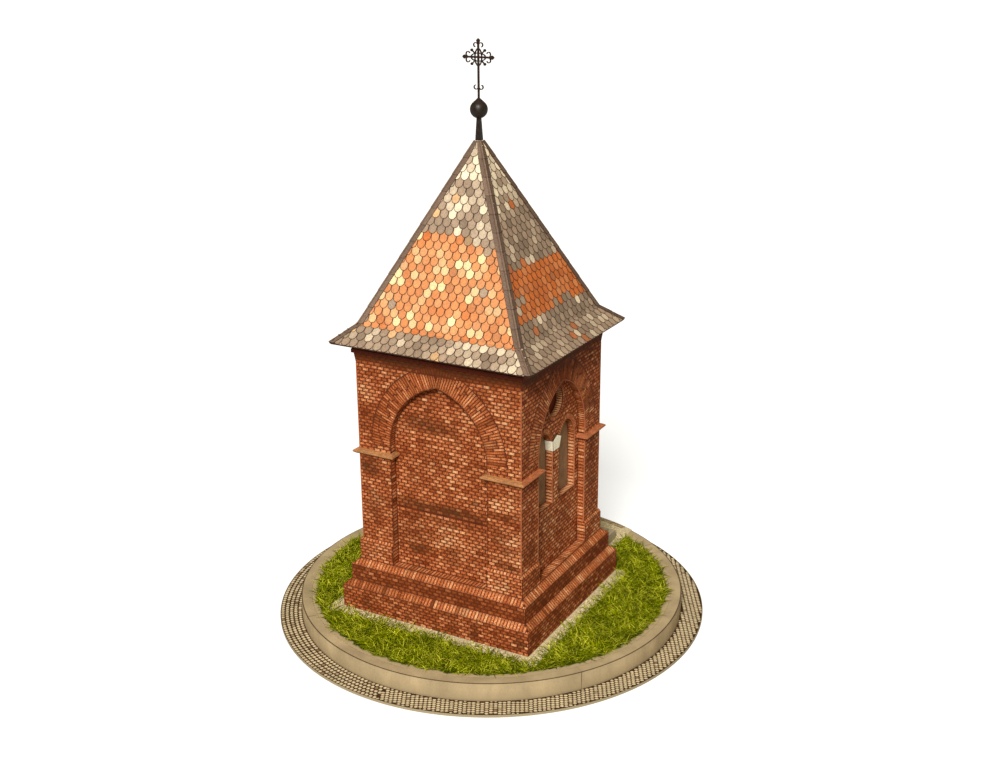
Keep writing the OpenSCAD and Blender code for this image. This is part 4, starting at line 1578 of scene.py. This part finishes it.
def lay_tiles(spots, sheet, start, length, width_foot, width_top, band_at, crease, phase=0):
    """Rows of round-ended tiles up one slope, half a tile out of step from row to row.

    `band_at` places the slope's foot among the bands of colour, and `crease` carries the firing of
    each column of tiles over the fold between skirt and steep slope.
    """
    side, width, whole = spots.side, spots.sizes.tile_width, tile_length(spots.sizes)
    columns = math.ceil(width_foot / width) + 1
    rows = round((length - start) / spots.sizes.tile_gauge)
    gauge = (length - start) / rows
    for row in range(rows):
        v = start + row * gauge
        limit = width_foot + (width_top - width_foot) * min(1.0, (v + 0.8 * gauge) / length) - 0.15
        shift = TILE_SHIFT + (0.5 * width if (row + phase) % 2 else 0.0)
        reach = min(whole, length - v + 0.25)
        for k in range(-columns, columns + 1):
            left = max(-limit, shift + (k - 0.5) * width)
            right = min(limit, shift + (k + 0.5) * width)
            if right - left < NARROWEST_TILE:
                continue
            u = (left + right) / 2
            rest = Sheet(sheet.at(u, v, TILE_LIFT), sheet.right, whole * sheet.up - TILE_LIFT * sheet.out)
            kind, orange = tile_kind(spots, u, v, band_at)
            if v < -1 and k in crease:
                kind = crease[k]
            elif v > length - gauge * 1.5:
                crease[k] = kind
            shade = max(0.0, 0.06 + 0.45 * noise.noise(Vector((u / 3.0, v / 3.0, 20.0 + side))))
            if kind >= RUSTIEST and not orange:
                shade += 0.22 if side % 2 == 0 else 0.45
                kind = max(kind, 0.94) if side % 2 == 0 else kind
            spots.add(rest, 0, 0, (right - left, reach, TILE_T), sink=0.0, kiln=kind,
                      soot=shade * spots.rng.uniform(0.3, 1.2))
            if v < 0 and not phase:
                eaves = Sheet(sheet.at(u + width / 2, 0.0, 0.03), sheet.right, sheet.up)
                spots.add(eaves, 0, 0.55 * whole, (right - left, 0.55 * whole, TILE_T), angle=math.pi,
                          sink=0.0, kiln=kind)


class CHAPEL_OT_roof_tiles(bpy.types.Operator):
    """Lay the round-ended tiles on the four slopes and their flared skirts"""

    bl_idname = "chapel.roof_tiles"
    bl_label = "Roof tiles"

    def execute(self, context):
        sizes = millimetres(context)
        shape = tile_shape(sizes)
        for side, name in enumerate(SIDE_NAMES):
            spots = Spots(600 + side, sizes, side)
            skirt, skirt_length = slope(side, EAVES_OUT, EAVES_Z, -CREASE_IN, CREASE_Z)
            run = half_run(side)
            crease = {}
            whole_skirt = skirt_length + SKIRT_LAP
            narrow = run + EAVES_OUT - (EAVES_OUT + CREASE_IN) * whole_skirt / skirt_length
            lay_tiles(spots, skirt, SKIRT_START, whole_skirt, run + EAVES_OUT, narrow, -skirt_length, crease)
            steep, length = slope(side, -CREASE_IN, CREASE_Z, TOP_W - face_at(side), ROOF_TOP)
            lay_tiles(spots, steep, ROW_SHIFT, length, run - CREASE_IN, TOP_W, 0.0, crease, 1)
            lay(name + "_roof_tiles", spots, shape, "laid tile", "roof_tile_card", wobble=0.012,
                seed=side + 51)
        discard(shape)
        return {"FINISHED"}


class CHAPEL_OT_hip_strips(bpy.types.Operator):
    """Fold the lapped strips over the four hips"""

    bl_idname = "chapel.hip_strips"
    bl_label = "Hip strips"

    def execute(self, context):
        for x, y, name in ((1, -1, "blind_right"), (1, 1, "entrance_right"),
                           (-1, 1, "entrance_left"), (-1, -1, "blind_left")):
            shape = new_shape("kiln", "rim")
            rng = random.Random(700 + 2 * x + y)
            foot, knee = (Vector((x * (HALF_W + out), MIDDLE_Y + y * (HALF_D + out), LAWN_TOP + z))
                          for out, z in ((EAVES_OUT, EAVES_Z), (-CREASE_IN, CREASE_Z)))
            head = Vector((x * TOP_W, MIDDLE_Y + y * TOP_W, LAWN_TOP + ROOF_TOP))
            for start, end, count in ((foot, knee, 2), (knee, head, 11)):
                climb = end - start
                for k in range(count):
                    tone = rng.uniform(0.2, 0.8)
                    low, high = start.lerp(end, k / count), start.lerp(end, min(1.0, (k + 1.03) / count))
                    rows = [hip_section(shape, low.lerp(high, share), climb, x, y, rise, tone, line)
                            for share, rise, line in ((0, 0.09, 1.0), (0.03, 0.08, 0.1), (1, 0.0, 0.15))]
                    join_rows(shape, rows)
            strip = finished(shape, "hip_strip_" + name, "laid hip")
            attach(strip, BODY)
            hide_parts("hip_cap_" + name)
        return {"FINISHED"}


def hip_section(shape, point, climb, x, y, rise, tone, line):
    """One cross-section of a hip strip: a wing on each of the two slopes and a fold between them."""
    along, across = Vector((-x, 0, 0)), Vector((0, -y, 0))
    facing = [way.cross(climb).normalized() for way in (along, across)]
    facing = [way if way.z > 0 else -way for way in facing]
    thick = HIP_T + rise
    ridge = (facing[0] + facing[1]) / (1 + facing[0].dot(facing[1]))
    row = []

    def add(place, firing, dark):
        row.append(dot(shape, place, kiln=firing, rim=max(dark, line)))

    def wing(way, out, marks):
        reach = min(HIP_W, abs(point.x) if way is along else abs(point.y - MIDDLE_Y))
        for share, lift, dark in marks:
            add(point + share * reach * way + lift * out, tone, dark)
    wing(along, facing[0], ((1.0, -0.05, 1.0), (1.0, thick - 0.05, 0.85), (0.88, thick, 0.0),
                            (0.2, thick + 0.02, 0.0), (0.13, thick + 0.04, 0.6)))
    # The fold's paler firing is a painted highlight along the crest.
    add(point + (thick + 0.04) * ridge + 0.08 * along, HIP_FOLD_HIGHLIGHT, 0.0)
    add(point + (thick + 0.04) * ridge + 0.08 * across, HIP_FOLD_HIGHLIGHT, 0.1)
    # The wing on the window-side slope is darker: partly its print, partly painted shade.
    wing(across, facing[1], ((0.13, thick + 0.04, 0.8), (0.2, thick + 0.02, 0.35), (0.88, thick, 0.45),
                             (1.0, thick - 0.05, 0.95), (1.0, -0.05, 1.0)))
    add(point - 0.2 * ridge, tone, 1.0)
    return row


# ---------- base ----------
# Joints between the kerb's lengths: angle, darkness of the line on the top and on the side.
KERB_JOINTS = ((-36.0, 0.1, 0.9), (54.0, 0.9, 0.9), (144.0, 0.9, 0.9), (231.0, 0.8, 0.1))


class CHAPEL_OT_kerb(bpy.types.Operator):
    """Build the raised kerb from four curved lengths with a worn outer edge"""

    bl_idname = "chapel.kerb"
    bl_label = "Kerb"

    def execute(self, context):
        shape = new_shape("rim")
        section = (
            (LAWN_R + 0.02, DISC_TOP, 0.3), (KERB_R, DISC_TOP, 0.9), (KERB_R, DISC_TOP + 0.3, 0.35),
            (KERB_R, DISC_TOP + 0.9, 0.0), (KERB_R, LAWN_TOP - 0.16, 0.0), (KERB_R, LAWN_TOP - 0.08, 0.9),
            (KERB_R - 0.08, LAWN_TOP, 1.0), (KERB_R - 0.3, LAWN_TOP, 1.0), (KERB_R - 0.42, LAWN_TOP, 0.0),
            (LAWN_R + 0.3, LAWN_TOP, 0.0), (LAWN_R + 0.02, LAWN_TOP - 0.06, 0.0))
        gap, seam = 0.03, 0.14
        for number, (start, *first) in enumerate(KERB_JOINTS):
            end, *last = KERB_JOINTS[(number + 1) % len(KERB_JOINTS)]
            end += 360 if end < start else 0
            parts = round((end - start) / 1.5)
            steps = [(gap, first), (gap + seam, None)]
            steps += [((end - start) * part / parts, None) for part in range(1, parts)]
            steps += [(end - start - gap - seam, None), (end - start - gap, last)]
            rows = []
            for turn, lines in steps:
                angle = math.radians(start + turn)
                rows.append([
                    dot(shape, Vector((radius * math.cos(angle), radius * math.sin(angle), z)),
                        rim=max(line, lines[0 if z == LAWN_TOP else 1]) if lines else line)
                    for radius, z, line in section])
            join_rows(shape, rows)
        kerb = finished(shape, "kerb_lengths", "kerb print")
        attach(kerb, BODY)
        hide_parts("kerb_ring")
        return {"FINISHED"}


class CHAPEL_OT_setts(bpy.types.Operator):
    """Lay the setts of the round paving and the dark cobbles where the path crosses the kerb"""

    bl_idname = "chapel.setts"
    bl_label = "Setts"

    def execute(self, context):
        pitch = millimetres(context).sett
        shape = cobble_shape()
        spots = Spots(801)
        ground = Sheet((0, 0, DISC_TOP), (1, 0, 0), (0, 1, 0))
        inner, outer = KERB_R + 0.05, DISC_R - PAVING_RIM
        sett_rings(spots, ground, pitch, inner, outer)
        sett_columns(spots, ground, pitch, inner, outer)
        lay("paving_setts", spots, shape, "laid sett", "paving_card", wobble=0.1, seed=61)
        spots = Spots(802)
        path = Sheet((0, 0, LAWN_TOP + GRAVEL_T), (1, 0, 0), (0, 1, 0))
        reach = math.ceil(STEP_W / pitch) + 1
        for row in range(2):
            radius = KERB_R - 0.62 - row * 1.2
            for k in range(-reach, reach + 1):
                angle = math.pi / 2 + (k + 0.5 * row) * pitch / radius
                if abs(radius * math.cos(angle)) < STEP_W - 1:
                    spots.add(path, radius * math.cos(angle), radius * math.sin(angle), (1.05, 1.02, 0.12),
                              angle=angle, kiln=spots.rng.uniform(0, 0.22))
        lay("threshold_setts", spots, shape, "laid sett", "gravel_card", wobble=0.08, seed=62)
        discard(shape)
        return {"FINISHED"}


def sett_rings(spots, ground, pitch, inner, outer):
    """Setts in rings about the base's axis, round the left half of the paving."""
    rows = round((outer - inner) / pitch)
    depth = (outer - inner) / rows
    for row in range(rows):
        radius = inner + (row + 0.5) * depth
        count = round(math.pi * radius / (pitch * SETT_LONG))
        for k in range(count):
            angle = math.radians(SETT_SEAM) - math.pi * (k + 0.5 * (row % 2) + 0.25) / count
            spots.add(ground, radius * math.cos(angle), radius * math.sin(angle),
                      (depth * SETT_FILL, pitch * SETT_LONG * SETT_FILL, SETT_T), angle=angle,
                      kiln=sett_tone(spots) - RING_WEAR)


def sett_columns(spots, ground, pitch, inner, outer):
    """Setts in straight slanting columns on the right half of the paving, cut short at its edges."""
    turn = math.radians(GRID_TURN)
    along, across = Vector((math.cos(turn), math.sin(turn))), Vector((-math.sin(turn), math.cos(turn)))
    reach = int(DISC_R / pitch) + 12
    half = pitch * 0.6
    for column in range(-reach, reach + 1):
        offset = spots.rng.uniform(0, pitch)
        for k in range(-reach, reach + 1):
            place = column * pitch * across + (k * pitch * SETT_SHORT + offset) * along
            if place.x >= SEAM_GAP and inner + 0.3 * half < place.length < outer - 0.3 * half:
                share = min(1.0, (outer - place.length) / half, (place.length - inner) / half)
                spots.add(ground, place.x, place.y,
                          (pitch * SETT_SHORT * SETT_FILL * share, pitch * 0.8 * share ** 0.5, SETT_T),
                          angle=turn, kiln=sett_tone(spots))


def sett_tone(spots):
    """Firing of a sett."""
    return 0.6 + spots.rng.gauss(0, 0.2)


def ground_patch(name, inside, cell=1.2, z=LAWN_TOP):
    """A flat mesh of the square cells whose middles lie inside a region."""
    shape = bmesh.new()
    count = int(KERB_R / cell) + 1
    for i in range(-count, count):
        for j in range(-count, count):
            x, y = (i + 0.5) * cell, (j + 0.5) * cell
            if inside(x, y):
                shape.faces.new([dot(shape, Vector((x + a * cell / 2, y + b * cell / 2, z)))
                                 for a, b in ((-1, -1), (1, -1), (1, 1), (-1, 1))])
    patch = keep(shape, name)
    bpy.context.view_layer.update()
    return patch


def ragged(x, y, size, amount):
    """An uneven distance that makes an edge ragged."""
    return amount * noise.noise(Vector((x / size, y / size, 41.0)))


def in_apron(x, y, margin):
    """Whether a point is over the gravel strip or the chapel, grown by a margin."""
    wobble = ragged(x, y, 2.2, 1.5)
    return (abs(x) < APRON[1].x + margin + wobble and
            APRON[0].y - margin - wobble < y < APRON[1].y + margin)


def on_path(x, y, margin):
    """Whether a point is over the entrance path, grown by a margin."""
    return abs(x) < PATH_W + margin + ragged(x, y, 2.0, 1.3) and y > APRON[1].y - 3


def on_turf(x, y):
    """Whether grass grows at a point."""
    edge = TURF_R - 1.4 + ragged(x, y, 3.0, 2.0)
    return math.hypot(x, y) < edge and not in_apron(x, y, -1.2) and not on_path(x, y, 0.2)


class CHAPEL_OT_grass(bpy.types.Operator):
    """Grow short and long blades on the lawn"""

    bl_idname = "chapel.grass"
    bl_label = "Grass"

    def execute(self, context):
        length = context.scene.chapel_sizes.blade
        # Name, blades for a square metre, shortest, longest, width, bend, lean and seed.
        for name, density, low, high, width, bend, lean, seed in (
                ("short_grass", 4.4e6, 0.6, 1.15, 0.085, 0.0, (1.0, 1.45), 71),
                ("long_grass", 1.7e6, 1.1, 2.0, 0.045, -0.28, (0.7, 1.2), 72)):
            blade = blade_shape(width, bend)
            strew(name, ground_patch(name + "_patch", on_turf), blade, "laid grass", "lawn_card", Seed=seed,
                  Density=density, Smallest=length * low, Largest=length * high,
                  Least_lean=lean[0], Most_lean=lean[1])
            discard(blade)
        return {"FINISHED"}


class CHAPEL_OT_gravel(bpy.types.Operator):
    """Strew small stones on the path and on the strip round the plinth"""

    bl_idname = "chapel.gravel"
    bl_label = "Gravel"

    def execute(self, context):
        out_x, out_y = HALF_W + LOW_OUT + 0.3, HALF_D + LOW_OUT + 0.3
        stair_end = corners("step_1")[1].y + 0.6

        def strip(x, y):
            inside = abs(x) < APRON[1].x - 0.3 and APRON[0].y + 0.3 < y < APRON[1].y - 0.3
            return inside and not (abs(x) < out_x and abs(y - MIDDLE_Y) < out_y)

        def path(x, y):
            inside = abs(x) < PATH_W - 0.6 and math.hypot(x, y) < KERB_R - 2.8
            return inside and y > MIDDLE_Y + out_y and not (abs(x) < STEP_W + 0.6 and y < stair_end)
        pebble = pebble_shape()
        # Name, region, stones for a square metre and seed.
        for name, region, density, seed in (
                ("strip_gravel", strip, 2.4e6, 81), ("path_gravel", path, 1.1e6, 82)):
            patch = ground_patch(name + "_patch", region, cell=0.6, z=LAWN_TOP + GRAVEL_T - 0.05)
            strew(name, patch, pebble, "laid gravel", "gravel_card", Seed=seed, Density=density,
                  Smallest=0.25 * MM, Largest=0.62 * MM, Least_lean=0.0, Most_lean=0.3)
        discard(pebble)
        return {"FINISHED"}


# ---------- stage ----------
# Places are in metres and turns are in degrees; the camera's rows are its own right, up and backwards.
CAMERA_AT = (0.193285, -0.340882, 0.214298)
CAMERA_ROWS = ((0.87963, 0.47566, -0.00184), (-0.15368, 0.28786, 0.94526), (0.45015, -0.8312, 0.32631))
LENS = 46.14
SHIFT = (-0.01382, 0.00031)
SUN_AZIMUTH = -72.0
SUN_ELEVATION = 38.0
SUN_STRENGTH = 4.1
SUN_SPREAD = 16.0
SKY_STRENGTH = 0.29
SKY_TINT = (1.0, 0.9, 0.57, 1.0)
FLOOR_TONE = 0.5
FLOOR_GLOW = 0.62
FLOOR_R = 12.0


class CHAPEL_OT_stage(bpy.types.Operator):
    """Set up the floor, the light and the camera"""

    bl_idname = "chapel.stage"
    bl_label = "Stage"

    def execute(self, context):
        context.scene.view_settings.view_transform = "Standard"
        set_camera(context.scene)
        set_sun(context.scene)
        set_sky(context.scene)
        shape = bmesh.new()
        parts = 96
        shape.faces.new([
            shape.verts.new((FLOOR_R * math.cos(angle), FLOOR_R * math.sin(angle), 0))
            for angle in (math.tau * k / parts for k in range(parts))])
        floor = keep(shape, "floor")
        floor.data.materials.append(floor_finish())
        return {"FINISHED"}


def set_camera(scene):
    """The camera in front of the blind side's right corner."""
    lens = bpy.data.cameras.new("camera")
    lens.lens, lens.sensor_width = LENS, 36
    lens.shift_x, lens.shift_y = SHIFT
    lens.clip_start, lens.clip_end = 0.01, 50
    camera = bpy.data.objects.new("camera", lens)
    camera.matrix_world = Matrix.Translation(CAMERA_AT) @ Matrix(CAMERA_ROWS).transposed().to_4x4()
    scene.collection.objects.link(camera)
    scene.camera = camera


def set_sun(scene):
    """One broad lamp from the front."""
    sun = bpy.data.objects.new("sun", bpy.data.lights.new("sun", "SUN"))
    sun.data.energy = SUN_STRENGTH
    sun.data.angle = math.radians(SUN_SPREAD)
    flat, rise = math.radians(SUN_AZIMUTH), math.radians(SUN_ELEVATION)
    towards = Vector((math.cos(flat) * math.cos(rise), math.sin(flat) * math.cos(rise), math.sin(rise)))
    sun.rotation_euler = towards.to_track_quat("Z", "Y").to_euler()
    scene.collection.objects.link(sun)


def set_sky(scene):
    """A sky that is white to the camera and lights the model with a dim warm tint."""
    world = bpy.data.worlds.new("plain sky")
    scene.world = world
    world.use_nodes = True
    sky = world.node_tree
    back = sky.nodes["Background"]
    seen = put(sky, "ShaderNodeLightPath").outputs["Is Camera Ray"]
    sky.links.new(mixed(sky, seen, SKY_TINT, (1, 1, 1, 1)), back.inputs["Color"])
    level = put(sky, "ShaderNodeMapRange", {"Value": seen, "To Min": SKY_STRENGTH, "To Max": 1.0})
    sky.links.new(level.outputs[0], back.inputs["Strength"])


def floor_finish():
    """Pale floor that looks white to the camera and keeps the model's soft shadow."""
    material = bpy.data.materials.new("pale floor")
    material.use_nodes = True
    tree = material.node_tree
    surface = tree.nodes["Principled BSDF"]
    surface.inputs["Base Color"].default_value = (FLOOR_TONE, FLOOR_TONE, FLOOR_TONE, 1)
    surface.inputs["Roughness"].default_value = 1.0
    surface.inputs["Specular IOR Level"].default_value = 0.0
    surface.inputs["Emission Color"].default_value = (1, 1, 1, 1)
    seen = put(tree, "ShaderNodeLightPath").outputs["Is Camera Ray"]
    tree.links.new(calc(tree, "MULTIPLY", seen, FLOOR_GLOW), surface.inputs["Emission Strength"])
    return material


# ---------- the add-on ----------
OPERATORS = (CHAPEL_OT_finishes, CHAPEL_OT_stage, CHAPEL_OT_wall_bricks, CHAPEL_OT_panel_bricks,
             CHAPEL_OT_mullions, CHAPEL_OT_plinth_bricks, CHAPEL_OT_string_course, CHAPEL_OT_card_edges,
             CHAPEL_OT_door, CHAPEL_OT_steps, CHAPEL_OT_roof_tiles, CHAPEL_OT_hip_strips, CHAPEL_OT_kerb,
             CHAPEL_OT_setts, CHAPEL_OT_grass, CHAPEL_OT_gravel)


class CHAPEL_PT_panel(bpy.types.Panel):
    """Sizes, colours and pieces of the chapel"""

    bl_idname = "CHAPEL_PT_panel"
    bl_label = "Brick wayside chapel"
    bl_space_type = "VIEW_3D"
    bl_region_type = "UI"
    bl_category = "Chapel"

    def draw(self, context):
        for group in (context.scene.chapel_sizes, context.scene.chapel_colours):
            box = self.layout.box()
            for label in group.__annotations__:
                box.prop(group, label)
        for operator in OPERATORS:
            self.layout.operator(operator.bl_idname)


CLASSES = (ChapelSizes, ChapelColours) + OPERATORS + (CHAPEL_PT_panel,)


def register():
    """Registers the classes and the two groups of values."""
    for item in CLASSES:
        bpy.utils.register_class(item)
    bpy.types.Scene.chapel_sizes = bpy.props.PointerProperty(type=ChapelSizes)
    bpy.types.Scene.chapel_colours = bpy.props.PointerProperty(type=ChapelColours)


def unregister():
    """Takes the classes and the values away again."""
    del bpy.types.Scene.chapel_colours
    del bpy.types.Scene.chapel_sizes
    for item in reversed(CLASSES):
        bpy.utils.unregister_class(item)


def main():
    register()
    for operator in OPERATORS:
        group, name = operator.bl_idname.split(".")
        getattr(getattr(bpy.ops, group), name)()


if __name__ == "__main__":
    main()
